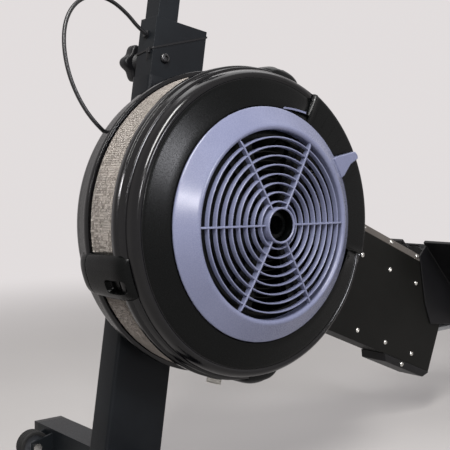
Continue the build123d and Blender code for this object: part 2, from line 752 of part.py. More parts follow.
def handle_grips():
    half = HANDLE_WIDTH / 2
    grips = []
    for side in (-1, 1):
        low, high = sorted((side * 52, side * half))
        tube = ring(HANDLE_R + FIT_GAP, GRIP_R, low, high, handle_point())
        grips.append(tube + rod(handle_point(), GRIP_R, *sorted((side * (half - 5), side * half))))
    return group(*grips)


def handle_cradle():
    x, z = handle_point()
    rise = tan(radians(PULL_RISE))
    drop = (HANDLE_HUB_R + RUN_GAP) / cos(radians(PULL_RISE))
    stop = x - HANDLE_HUB_R - RUN_GAP
    root = HUB_X + ROLLER_DX + ROLLER_R + 4
    floor = RAIL_TOP + 10
    lip = z - drop + 20 * rise
    arm = [(root, floor), (root + 40, floor), (x + 20, lip - 16), (x + 20, lip)]
    arm += [(stop, z - drop + (stop - x) * rise), (stop, z + 10), (stop - 14, z + 10), (root, floor + 26)]
    inner = HALF_DEPTH - BEAM_PLATE
    return group(*[prism(arm, *sorted((side * inner, side * HALF_DEPTH))) for side in (-1, 1)])


# Foot rests

def foot_board(side):
    inner, outer = BEAM_HALF, BEAM_HALF + BEAM_PLATE + BOARD_WIDTH
    low, high = sorted((side * inner, side * outer))
    face = [board(0, 0), board(BOARD_LENGTH, 0), board(BOARD_LENGTH, -BOARD_WALL), board(0, -BOARD_WALL)]
    plate = prism(face, low, high)
    gusset = [board(40, -1), board(BOARD_LENGTH - 10, -1), board(BOARD_LENGTH - 10, -40)]
    gusset += [beam(720, 60), beam(760, 20), board(40, -40)]
    low, high = sorted((side * inner, side * (inner + BEAM_PLATE)))
    return plate + prism(gusset, low, high)


def foot_middle(side):
    return side * (BEAM_HALF + BEAM_PLATE + BOARD_WIDTH / 2)


def heel_cup(side):
    middle, half = foot_middle(side), BOARD_WIDTH / 2 - 16
    gap = RUN_GAP
    base = [board(-8, gap), board(110, gap), board(110, 4), board(-2, 5), board(-2, 60), board(-8, 60)]
    cup = prism(base, middle - half, middle + half)
    for edge in (-1, 1):
        wall = [board(-8, gap), board(70, gap), board(-2, 48), board(-8, 48)]
        low, high = sorted((middle + edge * (half - 4), middle + edge * half))
        cup += prism(wall, low, high)
    return cup


def foot_straps():
    tilt = radians(BOARD_TILT)
    along = (-cos(tilt), 0, sin(tilt))
    half = BOARD_WIDTH / 2 - 4
    straps = []
    for side in (-1, 1):
        x, z = board(STRAP_AT, 0)
        across = Plane(origin=(x, foot_middle(side), z), x_dir=(0, -1, 0), z_dir=along)

        def arch(inset):
            w, h = half - inset, STRAP_ARCH - inset
            sides = [Line((w, 0), (w, h / 3)), ThreePointArc((w, h / 3), (0, h), (-w, h / 3))]
            sides += [Line((-w, h / 3), (-w, 0)), Line((-w, 0), (w, 0))]
            return across * make_face(sides)

        strap = extrude(arch(0), amount=STRAP_WIDTH, dir=along)
        straps.append(strap - extrude(arch(STRAP_WALL), amount=STRAP_WIDTH, dir=along))
    return group(*straps)


# Seat

def seat_x():
    return SEAT_DX - RAIL_DX


def roller_height():
    return TRACK_WALL + SEAT_ROLLER_R + RUN_GAP


def keeper_height():
    return -RAIL_FLANGE - 4 - KEEPER_R - RUN_GAP


def seat_carriage():
    x = seat_x()
    side_in, side_out = RAIL_WIDTH / 2 + 3, RAIL_WIDTH / 2 + 7
    top = roller_height() + SEAT_ROLLER_R + 5
    low = keeper_height() - KEEPER_R
    body = rail_box(x - CARRIAGE_HALF, x + CARRIAGE_HALF, -70, 70, top, top + 4)
    for side in (-1, 1):
        y0, y1 = sorted((side * side_in, side * side_out))
        body += rail_box(x - CARRIAGE_HALF, x + CARRIAGE_HALF, y0, y1, 4, top + 1)
        body += rail_box(x - 30, x + 30, y0, y1, low, 5)
        for point, r in seat_pins():
            body -= rod(point, r + FIT_GAP, y0, y1)
    return on_rail(body)


def seat_pins():
    x = seat_x()
    pins = [((x + side * ROLLER_SPREAD, roller_height()), SEAT_PIN_R) for side in (-1, 1)]
    return pins + [((x, keeper_height()), KEEPER_PIN_R)]


def seat_axles():
    outer = RAIL_WIDTH / 2 + 9
    rods = [on_rail(rod(point, r, -outer, outer)) for point, r in seat_pins()[:2]]
    point, r = seat_pins()[2]
    rods += [on_rail(rod(point, r, *sorted((side * outer, side * (RAIL_WEB / 2 + 1.5))))) for side in (-1, 1)]
    return group(*rods)


def seat_rollers(index):
    point, r = seat_pins()[index]
    return group(*[on_rail(ring(r + SHAFT_GAP, SEAT_ROLLER_R, y, y + 14, point)) for y in (-22, 8)])


def keeper_rollers():
    point, r = seat_pins()[2]
    inner, outer = RAIL_WEB / 2 + 2, RAIL_WIDTH / 2
    pair = [ring(r + SHAFT_GAP, KEEPER_R, side * inner, side * outer, point) for side in (-1, 1)]
    return group(*[on_rail(roller) for roller in pair])


def seat_pad():
    base = roller_height() + SEAT_ROLLER_R + 9
    layers = [(0, 30), (0.45, 0), (0.8, 6), (0.95, 28), (1.0, 80)]
    sections = []
    for height, inset in layers:
        size = (SEAT_LENGTH - 2 * inset, SEAT_WIDTH - 2 * inset)
        place = Pos(seat_x(), 0, base + height * SEAT_PAD)
        sections.append(place * RectangleRounded(*size, SEAT_CORNER - 0.6 * inset))
    return on_rail(loft(sections))


# Monitor

def monitor_arm():
    half = ARM_WIDTH / 2
    corners = [post(PIVOT_P - half, PIVOT_Q), post(PIVOT_P + half, PIVOT_Q)]
    corners += [post(PIVOT_P + half, ARM_TOP), post(PIVOT_P - half, ARM_TOP)]
    depth = CHEEK - 0.5
    arm = prism(corners, -depth, depth) + rod(post(PIVOT_P, PIVOT_Q), half, -depth, depth)
    inner = half - POST_WALL
    bore = [post(PIVOT_P - inner, FORK_TOP), post(PIVOT_P + inner, FORK_TOP)]
    bore += [post(PIVOT_P + inner, ARM_TOP), post(PIVOT_P - inner, ARM_TOP)]
    arm -= prism(bore, POST_WALL - depth, depth - POST_WALL)
    return arm - rod(post(PIVOT_P, PIVOT_Q), PIVOT_R + SHAFT_GAP, -depth, depth)


def tilt_point():
    return post(PIVOT_P + ARM_WIDTH / 2, ARM_TOP + 26)


def monitor_bracket():
    half = ARM_WIDTH / 2
    depth = CHEEK - 2
    wedge = [post(PIVOT_P - half, ARM_TOP), post(PIVOT_P + half, ARM_TOP)]
    wedge += [post(PIVOT_P + half + 8, ARM_TOP + 22), post(PIVOT_P + half - 9, ARM_TOP + 30)]
    bracket = prism(wedge, -depth, depth) + rod(tilt_point(), 10, -depth, depth)
    return bracket + rod(tilt_point(), 4, -depth - 9, depth + 9)


def monitor_place(shape):
    x, z = tilt_point()
    return Pos(x, 0, z) * Rot(0, -MONITOR_TILT, 0) * shape


def monitor_case():
    thick, width, height = MONITOR
    depth = CHEEK - 2
    case = Pos(MONITOR_GAP + thick / 2, 0, MONITOR_RAISE) * Box(thick, width, height)
    case = fillet(case.edges().filter_by(Axis.X), 18)
    case = fillet(case.faces().sort_by(Axis.X)[-1].edges(), 5)
    for side in (-1, 1):
        y0, y1 = sorted((side * (depth + 0.5), side * (depth + 8)))
        ear = prism([(0, -10), (MONITOR_GAP + 2, -16), (MONITOR_GAP + 2, 16), (0, 10)], y0, y1)
        ear += rod((0, 0), 10, y0, y1)
        case += ear - rod((0, 0), 4 + SHAFT_GAP, y0, y1)
    return monitor_place(case)


def monitor_screen():
    thick, width, height = MONITOR
    plate = Pos(MONITOR_GAP + thick + 0.75, 0, MONITOR_RAISE + 14) * Box(1.5, width - 50, height - 64)
    return monitor_place(plate)


def mast_knob():
    """A lobed knob at the far end of the mast's pivot: a long neck, and a blind bore over the stud."""
    x, z = pin = post(PIVOT_P, PIVOT_Q)
    start = HALF_DEPTH - POST_WALL + RUN_GAP
    body = start + KNOB_NECK
    knob = rod(pin, 13, start, body + 1) + rod(pin, KNOB_R - 7, body, body + KNOB_DEEP)
    for k in range(KNOB_LOBES):
        angle = 2 * pi * k / KNOB_LOBES
        lobe = (x + (KNOB_R - 9) * cos(angle), z + (KNOB_R - 9) * sin(angle))
        knob += rod(lobe, 9, body, body + KNOB_DEEP)
    return knob - rod(pin, STUD_R + SHAFT_GAP, start, start + STUD_REACH)


# Sensor lead

def cable_points():
    x, z = polar(FACE_R - GLAND_INSET, GLAND_ANGLE)
    gland = Vector(x, out(HOUSING_BACK), z)
    route = [gland + Vector(*step) for step in CABLE_ROUTE]
    x, z = post(FORK_FRONT - GROMMET_WALL, GROMMET_Q)
    return route + [Vector(x, 0, z)]


def sensor_cable():
    points = cable_points()
    radii = []
    for before, corner, after in zip(points, points[1:], points[2:]):
        turn = radians((corner - before).get_angle(after - corner))
        radii.append(0.45 * min((corner - before).length, (after - corner).length) / tan(turn / 2))
    print("cable bend radii", [round(r) for r in radii])
    path = FilletPolyline(*points, radius=radii)
    tube = sweep(Plane(origin=path @ 0, z_dir=path % 0) * Circle(CABLE_D / 2), path=path)
    solid = path.length * pi * CABLE_D ** 2 / 4
    print("cable length", round(path.length), "volume ratio", round(tube.volume / solid, 4))
    return tube


def cable_glands():
    points = cable_points()
    leave = (points[1] - points[0]).normalized()
    sleeve = Pos(0, 0, GLAND_LENGTH / 2) * Cone(CABLE_D * 0.9, CABLE_D, GLAND_LENGTH)
    gland = toward(points[0], -leave, sleeve)
    enter = (points[-1] - points[-2]).normalized()
    boot = toward(points[-1], enter, Pos(0, 0, GLAND_LENGTH / 2) * Cylinder(CABLE_D, GLAND_LENGTH))
    face = [post(FORK_FRONT, POST_TOP), post(0, POST_TOP), post(0, ARM_TOP), post(FORK_FRONT, ARM_TOP)]
    return group(gland, boot - prism(face, -HALF_DEPTH, HALF_DEPTH))


NODES = {
    "front_post": front_post,
    "mast_fork": mast_fork,
    "pivot_bolt": pivot_bolt,
    "beam_plate_near": lambda: beam_plate(-1),
    "beam_plate_far": lambda: beam_plate(1),
    "beam_top_cap": beam_top_cap,
    "beam_floor": beam_floor,
    "beam_skid": beam_skid,
    "frame_bolts": frame_bolts,
    "front_stabiliser": front_stabiliser,
    "wheel_axles": wheel_axles,
    "transport_wheel_near": lambda: transport_wheel(0),
    "transport_wheel_far": lambda: transport_wheel(1),
    "end_caps": end_caps,
    "foot_pads": foot_pads,
    "rail": rail,
    "rail_track": rail_track,
    "rail_end_cap": rail_end_cap,
    "rail_stops": rail_stops,
    "rear_leg": rear_leg,
    "near_cover": near_cover,
    "far_cover": far_cover,
    "mesh_band": mesh_band,
    "vent_guard": vent_guard,
    "housing_clamps": housing_clamps,
    "cover_standoffs": cover_standoffs,
    "damper_dial": damper_dial,
    "damper_shutter": damper_shutter,
    "axle": axle,
    "axle_bearings": axle_bearings,
    "fan_wheel": fan_wheel,
    "flywheel_disc": flywheel_disc,
    "drive_spool": drive_spool,
    "recoil_case": recoil_case,
    "guide_roller": guide_roller,
    "roller_pin": roller_pin,
    "strap_run": strap_run,
    "pull_strap": pull_strap,
    "handle_bar": handle_bar,
    "handle_grips": handle_grips,
    "handle_cradle": handle_cradle,
    "foot_board_near": lambda: foot_board(-1),
    "foot_board_far": lambda: foot_board(1),
    "heel_cup_near": lambda: heel_cup(-1),
    "heel_cup_far": lambda: heel_cup(1),
    "foot_straps": foot_straps,
    "seat_carriage": seat_carriage,
    "seat_axles": seat_axles,
    "seat_rollers_front": lambda: seat_rollers(0),
    "seat_rollers_rear": lambda: seat_rollers(1),
    "keeper_rollers": keeper_rollers,
    "seat_pad": seat_pad,
    "monitor_arm": monitor_arm,
    "monitor_bracket": monitor_bracket,
    "monitor_case": monitor_case,
    "monitor_screen": monitor_screen,
    "mast_knob": mast_knob,
    "sensor_cable": sensor_cable,
    "cable_glands": cable_glands,
}

os.makedirs("parts", exist_ok=True)
for name, make in NODES.items():
    export_step(make(), f"parts/{name}.step")
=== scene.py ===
import json
from math import atan2, cos, degrees, pi, radians, sin

import bpy
from mathutils import Matrix, Vector


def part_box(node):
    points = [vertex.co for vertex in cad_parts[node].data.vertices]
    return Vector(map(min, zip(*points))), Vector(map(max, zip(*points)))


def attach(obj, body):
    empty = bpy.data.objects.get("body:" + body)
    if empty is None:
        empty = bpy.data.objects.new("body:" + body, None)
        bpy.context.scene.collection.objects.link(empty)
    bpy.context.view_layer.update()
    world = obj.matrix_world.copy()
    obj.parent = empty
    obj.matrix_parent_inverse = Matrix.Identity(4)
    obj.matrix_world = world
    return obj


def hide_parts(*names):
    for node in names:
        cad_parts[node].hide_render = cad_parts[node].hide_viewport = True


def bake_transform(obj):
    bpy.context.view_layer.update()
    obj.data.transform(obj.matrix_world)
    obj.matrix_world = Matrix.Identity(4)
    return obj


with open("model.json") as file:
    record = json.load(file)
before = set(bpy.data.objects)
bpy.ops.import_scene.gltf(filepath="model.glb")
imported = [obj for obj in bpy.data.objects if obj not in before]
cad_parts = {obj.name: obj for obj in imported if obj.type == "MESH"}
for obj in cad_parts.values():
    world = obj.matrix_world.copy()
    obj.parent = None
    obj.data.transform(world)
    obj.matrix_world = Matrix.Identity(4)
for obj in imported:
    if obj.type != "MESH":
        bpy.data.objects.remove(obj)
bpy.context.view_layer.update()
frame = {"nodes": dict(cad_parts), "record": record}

# Air rowing machine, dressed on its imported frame. The scene is in metres; sizes in the calls are in
# millimetres and angles in degrees. +X runs towards the rower, -Y is the damper side, +Z is up.

JOINTS = {joint["name"]: joint for joint in frame["record"]["behaviour"]["joints"]}
HUB = Vector(JOINTS["damper_turn"]["pos_m"])
MM = 0.001
# Lean of the post, slope of the beam, rise of the rail and tilt of the foot boards.
LEAN = radians(8.25)
SLOPE = radians(22)
RISE = radians(1.2)
TILT = radians(46)
# The post's line passes ahead of the hub; the mast's pivot is across and up from there.
POST_AHEAD = 70
PIVOT = (-30, 291)
# Behind the hub and above the floor: the top of the foot boards and the start of the rail.
BOARD_TOP = (690, 415)
BOARD_LENGTH = 300
RAIL_START = (640, 284)
X, Y, Z = Vector((1, 0, 0)), Vector((0, 1, 0)), Vector((0, 0, 1))
FACE_OUT = Vector((0, -1, 0))
POST_UP = Vector((sin(LEAN), 0, cos(LEAN)))
BOARD_OUT = Vector((sin(TILT), 0, cos(TILT)))


def cage(r, a, angle=0.0):
    """Point on the fan cage: radius, height out of the dial's rim plane, angle from +X towards +Z."""
    t = radians(angle)
    return HUB + Vector((r * cos(t), -a, r * sin(t))) * MM


def post(p, q, y=0.0):
    """Point across and up the leaning post."""
    x = q * sin(LEAN) + p * cos(LEAN) - POST_AHEAD
    z = q * cos(LEAN) - p * sin(LEAN)
    return Vector((HUB.x + x * MM, y * MM, HUB.z + z * MM))


def beam(s, t, y=0.0):
    """Point along and across the sloping beam."""
    x = s * cos(SLOPE) + t * sin(SLOPE)
    z = t * cos(SLOPE) - s * sin(SLOPE)
    return Vector((HUB.x + x * MM, y * MM, HUB.z + z * MM))


def board(u, n, y=0.0):
    """Point up a foot board from its heel end, and off its face."""
    x = BOARD_TOP[0] + (BOARD_LENGTH - u) * cos(TILT) + n * sin(TILT)
    z = BOARD_TOP[1] - (BOARD_LENGTH - u) * sin(TILT) + n * cos(TILT)
    return Vector((HUB.x + x * MM, y * MM, z * MM))


def on_rail(x, y, z):
    """Point along, across and above the rail."""
    along = x * cos(RISE) - z * sin(RISE) + RAIL_START[0]
    up = x * sin(RISE) + z * cos(RISE) + RAIL_START[1]
    return Vector((HUB.x + along * MM, y * MM, up * MM))


# Modelling

def deselect():
    if bpy.context.object and bpy.context.object.mode != "OBJECT":
        bpy.ops.object.mode_set(mode="OBJECT")
    bpy.ops.object.select_all(action="DESELECT")


def take(obj):
    deselect()
    obj.select_set(True)
    bpy.context.view_layer.objects.active = obj
    return obj


def settle(obj):
    """Puts an object's place into its mesh."""
    take(obj)
    bpy.ops.object.transform_apply(location=True, rotation=True, scale=True)
    return obj


def modify(obj, kind, **settings):
    take(obj)
    modifier = obj.modifiers.new(kind.title(), kind)
    for key, value in settings.items():
        setattr(modifier, key, value)
    bpy.ops.object.modifier_apply(modifier=modifier.name)
    return obj


def merge(obj, outward=True):
    take(obj)
    bpy.ops.object.mode_set(mode="EDIT")
    bpy.ops.mesh.select_all(action="SELECT")
    bpy.ops.mesh.remove_doubles(threshold=2e-6)
    if outward:
        bpy.ops.mesh.normals_make_consistent(inside=False)
    bpy.ops.object.mode_set(mode="OBJECT")
    return obj


def smooth(obj, angle=35):
    take(obj)
    bpy.ops.object.shade_smooth_by_angle(angle=radians(angle))
    return obj


def soften(obj, width, segments=2, angle=30):
    """Breaks the sharp edges, and keeps the flat faces beside them flat to the eye."""
    modify(obj, "BEVEL", width=width * MM, segments=segments, limit_method="ANGLE",
           angle_limit=radians(angle))
    return modify(smooth(obj, angle + 8), "WEIGHTED_NORMAL", keep_sharp=True)


def line(points, closed=True):
    """Edges drawn by pulling one vertex from point to point; left in edit mode with all selected."""
    deselect()
    bpy.ops.mesh.primitive_plane_add(size=2 * MM, location=points[0])
    obj = bpy.context.object
    bpy.ops.object.mode_set(mode="EDIT")
    bpy.ops.mesh.merge(type="CENTER")
    for before, after in zip(points, points[1:] + points[:1] if closed else points[1:]):
        bpy.ops.mesh.extrude_region_move(TRANSFORM_OT_translate={"value": after - before})
    bpy.ops.mesh.select_all(action="SELECT")
    bpy.ops.mesh.remove_doubles(threshold=1e-6)
    return obj


def lathe(profile, steps=96, centre=HUB, axis=FACE_OUT):
    """A closed (radius, height) profile spun about an axis."""
    across = Z if abs(axis.x) > 0.7 else X
    obj = line([centre + across * r * MM + axis * h * MM for r, h in profile])
    bpy.ops.mesh.spin(steps=steps, angle=2 * pi, center=centre, axis=axis)
    return merge(settle(obj))


def slab(points, depth):
    """A flat outline filled and pulled out by a depth in metres."""
    obj = line(points)
    bpy.ops.mesh.edge_face_add()
    bpy.ops.mesh.extrude_region_move(TRANSFORM_OT_translate={"value": depth})
    return merge(settle(obj))


def strip(points, width, wall):
    """A ribbon pulled from a line of points, with a wall in millimetres."""
    obj = line(points, closed=False)
    bpy.ops.mesh.extrude_region_move(TRANSFORM_OT_translate={"value": width})
    return modify(merge(settle(obj)), "SOLIDIFY", thickness=wall * MM, offset=0.0)


def join(objects):
    deselect()
    for obj in objects:
        obj.select_set(True)
    bpy.context.view_layer.objects.active = objects[0]
    if len(objects) > 1:
        bpy.ops.object.join()
    return objects[0]


def copy_to(obj, matrix):
    """A copy with a mesh of its own, moved by a matrix."""
    twin = obj.copy()
    twin.data = obj.data.copy()
    twin.data.transform(matrix)
    bpy.context.collection.objects.link(twin)
    return twin


def copies(obj, matrices):
    """Copies at each place, joined; the pattern itself goes."""
    made = join([copy_to(obj, matrix) for matrix in matrices])
    bpy.data.objects.remove(obj)
    return made


def round_hub(angle):
    """Turn about the fan axis, from +X towards +Z."""
    return Matrix.Translation(HUB) @ Matrix.Rotation(radians(-angle), 4, "Y") @ Matrix.Translation(-HUB)


def stand(point, direction, spin=0.0):
    """Stands a shape built along +Z on a point, along a direction."""
    turn = Vector(direction).to_track_quat("Z", "Y").to_matrix().to_4x4()
    return Matrix.Translation(point) @ turn @ Matrix.Rotation(radians(spin), 4, "Z")


def broken_edges(*nodes, width=1.2, segments=2, angle=30):
    """Copies of some solids of the frame with their edges broken, as a finished part has them."""
    made = []
    for node in nodes:
        twin = bpy.data.objects.new(node + "_copy", frame["nodes"][node].data.copy())
        bpy.context.collection.objects.link(twin)
        made.append(twin)
    obj = merge(join(made), outward=False)
    bpy.ops.object.mode_set(mode="EDIT")
    bpy.ops.mesh.select_all(action="SELECT")
    bpy.ops.mesh.dissolve_limited(angle_limit=radians(1))
    bpy.ops.object.mode_set(mode="OBJECT")
    return soften(obj, width, segments, angle)


def piece(obj, name, material, body, nodes=()):
    """Names a piece, gives it its finish and its body, and hides the nodes that it replaces."""
    obj.name = obj.data.name = name
    obj.data.materials.clear()
    obj.data.materials.append(material)
    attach(obj, body)
    if nodes:
        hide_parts(*nodes)
    return obj


# Materials

def colour(code):
    """Linear colour of an sRGB hex value."""
    values = [int(code[i:i + 2], 16) / 255 for i in (1, 3, 5)]
    return [v / 12.92 if v <= 0.04045 else ((v + 0.055) / 1.055) ** 2.4 for v in values] + [1.0]


def add(material, kind, inputs=(), **settings):
    """Adds one node; an input is a plain value, or a socket that is linked to it."""
    node = material.node_tree.nodes.new(kind)
    for key, value in settings.items():
        setattr(node, key, value)
    for key, value in dict(inputs).items():
        if isinstance(value, bpy.types.NodeSocket):
            material.node_tree.links.new(value, node.inputs[key])
        else:
            node.inputs[key].default_value = value
    return node


def start(name):
    """A new material: its tree, its shader and its object coordinates."""
    material = bpy.data.materials.new(name)
    material.use_nodes = True
    place = add(material, "ShaderNodeTexCoord").outputs["Object"]
    return material, material.node_tree.nodes["Principled BSDF"], place


def connect(material, shader, base, rough, normal):
    for name, socket in (("Base Color", base), ("Roughness", rough), ("Normal", normal)):
        material.node_tree.links.new(socket, shader.inputs[name])


def grained(name, dark, light, rough, grain, depth, cloud=90.0, stretch=(1, 1, 1), **sockets):
    """A solid finish: colour that drifts over some centimetres, and a grain in height and gloss."""
    material, shader, place = start(name)
    drift = add(material, "ShaderNodeTexNoise", {"Vector": place, "Scale": 1000 / cloud, "Detail": 3.0})
    pulled = add(material, "ShaderNodeMapping", {"Vector": place, "Scale": stretch})
    fine = add(material, "ShaderNodeTexNoise",
               {"Vector": pulled.outputs["Vector"], "Scale": 1000 / grain, "Detail": 2.0})
    tone = add(material, "ShaderNodeMapRange",
               {"Value": drift.outputs["Fac"], "From Min": 0.35, "From Max": 0.65})
    base = add(material, "ShaderNodeMix", {0: tone.outputs["Result"], 6: colour(dark), 7: colour(light)},
               data_type="RGBA")
    gloss = add(material, "ShaderNodeMapRange",
                {"Value": fine.outputs["Fac"], "From Min": 0.3, "From Max": 0.7,
                 "To Min": rough - 0.05, "To Max": rough + 0.05})
    bump = add(material, "ShaderNodeBump",
               {"Height": fine.outputs["Fac"], "Distance": depth * MM, "Strength": 1.0})
    connect(material, shader, base.outputs[2], gloss.outputs["Result"], bump.outputs["Normal"])
    for key, value in sockets.items():
        shader.inputs[key.replace("_", " ")].default_value = value
    return material


def woven(name, dark, light, thread):
    """Flat webbing: ribs one way and threads the other, with a raised thread at each crossing, painted
    lighter on the raised threads and darker between them as light and shade.
    """
    material, shader, place = start(name)
    ribs = [add(material, "ShaderNodeTexWave",
                {"Vector": place, "Scale": 1000 / thread / 20, "Distortion": 0.3}, bands_direction=way)
            for way in ("Y", "DIAGONAL")]
    cross = add(material, "ShaderNodeMath", {0: ribs[0].outputs["Fac"], 1: ribs[1].outputs["Fac"]},
                operation="MULTIPLY")
    base = add(material, "ShaderNodeMix", {0: cross.outputs["Value"], 6: colour(dark), 7: colour(light)},
               data_type="RGBA")
    gloss = add(material, "ShaderNodeMapRange",
                {"Value": cross.outputs["Value"], "To Min": 0.9, "To Max": 0.75})
    bump = add(material, "ShaderNodeBump",
               {"Height": cross.outputs["Value"], "Distance": 0.4 * MM, "Strength": 0.8})
    connect(material, shader, base.outputs[2], gloss.outputs["Result"], bump.outputs["Normal"])
    shader.inputs["Sheen Weight"].default_value = 0.15
    return material


def pebbled(name, dark, light, pebble):
    """Coated upholstery: rounded cells with duller creases between them, the creases painted darker as
    shade.
    """
    material, shader, place = start(name)
    cells = add(material, "ShaderNodeTexVoronoi", {"Vector": place, "Scale": 1000 / pebble})
    base = add(material, "ShaderNodeMix", {0: cells.outputs["Distance"], 6: colour(light), 7: colour(dark)},
               data_type="RGBA")
    gloss = add(material, "ShaderNodeMapRange",
                {"Value": cells.outputs["Distance"], "To Min": 0.48, "To Max": 0.72})
    bump = add(material, "ShaderNodeBump",
               {"Height": cells.outputs["Distance"], "Distance": 0.5 * MM, "Strength": 0.7}, invert=True)
    connect(material, shader, base.outputs[2], gloss.outputs["Result"], bump.outputs["Normal"])
    return material


# Moulded ABS with a fine spark-eroded grain: deep black with a soft, broken sheen.
cover_abs = grained("moulded_black_ABS", "#030404", "#050606", 0.26, 1.6, 0.02, Specular_IOR_Level=0.12)
# The same plastic where the mould was polished: long clear highlights.
rim_abs = grained("polished_black_ABS", "#030304", "#040406", 0.16, 3.0, 0.003, Specular_IOR_Level=0.36)
# Self-coloured ABS with a satin mould finish: even blue-grey, with a soft highlight towards the light.
dial_abs = grained("moulded_grey_ABS", "#63677f", "#6b6f87", 0.27, 1.4, 0.012, Specular_IOR_Level=0.5)
# Fine-textured powder coat on steel tube: near-black slate with a slight orange peel.
powder_coat = grained("slate_powder_coat", "#111316", "#15181b", 0.42, 2.4, 0.03, Specular_IOR_Level=0.12)
# The same coat in a lighter, warmer grey on the folded top of the beam: partly the coat's own tone and
# partly painted sheen for the top light on its upward face.
lid_coat_and_painted_sheen = grained("warm_grey_coat_and_painted_sheen", "#332d27", "#3a342d", 0.42, 2.4, 0.03, Specular_IOR_Level=0.25)
# Flat black sheet finish of the beam's sides: matt, with a very fine tooth.
panel_coat = grained("matt_black_powder_coat", "#0b0b09", "#0f0f0d", 0.5, 2.0, 0.03,
                     Specular_IOR_Level=0.14)
# Nylon as moulded: dull black with a coarse grain.
nylon = grained("moulded_black_nylon", "#0a0a0c", "#0e0e10", 0.42, 1.8, 0.04, Specular_IOR_Level=0.24)
# Nylon coloured dark grey: soft and even, a shade lighter than the black.
grey_nylon = grained("moulded_grey_nylon", "#2c2e32", "#34363a", 0.46, 1.8, 0.05)
# White nylon of a plug: slightly translucent, a little yellow.
white_nylon = grained("moulded_white_nylon", "#d9d7d0", "#e4e2dc", 0.4, 1.8, 0.02, cloud=12)
# Zinc plate on steel: pale, nearly a mirror, with a faint cloud.
zinc = grained("bright_zinc_plate", "#c8c7c3", "#dddcd8", 0.22, 3.0, 0.006, cloud=6, Metallic=1.0)
# Blackened steel of the cage's screws and the mast's pivot: dark, with small sharp glints.
black_steel = grained("blackened_steel", "#0d0d0f", "#151517", 0.24, 2.0, 0.008, cloud=6,
                      Specular_IOR_Level=0.6)
# Steel ground along its length: fine bright lines.
ground_steel = grained("ground_steel", "#a3a5a7", "#b6b8ba", 0.28, 1.4, 0.015, stretch=(0.05, 1, 1),
                       Metallic=1.0)
# Aluminium extruded and anodised: satin, with die lines along its length.
anodised = grained("anodised_aluminium", "#9da0a3", "#abaeb1", 0.36, 1.6, 0.015, stretch=(0.02, 1, 1),
                   Metallic=1.0)
# Aluminium sheet of the fan, coloured near-black as painted shade for the unlit inside of the cage: a dim
# metal sheen with soft rolling marks.
fan_sheet_painted_shade = grained("fan_sheet_dark_as_painted_shade", "#1c1d1f", "#242527", 0.45, 2.0, 0.01, Metallic=0.8)
# Sand-cast iron under dark paint: rough to the eye.
cast_iron = grained("painted_cast_iron", "#262729", "#303133", 0.6, 2.2, 0.12)
# Moulded rubber: dull and slightly dusty.
rubber = grained("moulded_rubber", "#111111", "#1a1a1a", 0.7, 1.6, 0.05, Specular_IOR_Level=0.3)
# Closed-cell foam sleeve: matt, with pores.
foam = grained("closed_cell_foam", "#131314", "#1c1c1d", 0.85, 1.6, 0.16, Specular_IOR_Level=0.2)
# Extruded PVC jacket: smooth black with a soft gloss.
jacket = grained("extruded_PVC_jacket", "#0a0a0b", "#0f0f10", 0.36, 3.0, 0.01)
# Knitted steel mesh, coated: warm grey strands, each catching the light on its crown.
mesh_wire = grained("coated_steel_mesh", "#8f8983", "#9c958e", 0.45, 3.0, 0.004, cloud=60, Metallic=0.2)
# Polished acrylic over an unlit display: almost black, with a clean reflection.
acrylic = grained("polished_acrylic", "#10140f", "#161b15", 0.08, 30.0, 0.0, Coat_Weight=0.4)
# Nylon webbing: tight threads, drawn at about twice their real 0.8 mm spacing so that they show.
webbing = woven("woven_nylon_webbing", "#0b0b0c", "#232325", 1.6)
# Coated cloth over foam: pebbles of about 3 mm.
upholstery = pebbled("pebbled_coated_cloth", "#0e0e0f", "#1b1b1c", 3.0)


# Camera and lead

def camera():
    data = bpy.data.cameras.new("photo_camera")
    data.lens, data.sensor_width, data.clip_end = 67.1, 36.0, 40.0
    made = bpy.data.objects.new("photo_camera", data)
    bpy.context.collection.objects.link(made)
    look = Vector((0.63564, 0.77055, -0.04701)).normalized()
    right = look.cross(Z).normalized()
    turn = Matrix((right, right.cross(look), -look)).transposed()
    made.matrix_world = Matrix.Translation(HUB + Vector((-0.9387, -1.0242, 0.0648))) @ turn.to_4x4()
    bpy.context.scene.camera = made


def sensor_lead():
    """The lead from the gland in the far cover up and over into the fork."""
    gland = cage(237.7, -195, 141.5)
    steps = [(0, 0, 0), (-22, 1, 16), (-50, 4, 50), (-70, 9, 95), (-77, 15, 144), (-70, 21, 189),
             (-46, 27, 223), (-9, 33, 241), (31, 38, 237), (65, 41, 218), (88, 43, 198)]
    route = [gland + Vector(step) * MM for step in steps] + [post(-61, 332)]
    data = bpy.data.curves.new("sensor_lead", "CURVE")
    data.dimensions, data.bevel_depth, data.bevel_resolution = "3D", 3.5 * MM, 5
    data.use_fill_caps = True
    spline = data.splines.new("NURBS")
    spline.points.add(len(route) - 1)
    for point, place in zip(spline.points, route):
        point.co = (*place, 1.0)
    spline.order_u, spline.use_endpoint_u, spline.resolution_u = 3, True, 10
    lead = bpy.data.objects.new("sensor_lead", data)
    bpy.context.collection.objects.link(lead)
    piece(lead, "sensor_lead", jacket, "frame", ["sensor_cable"])


# Fan cage

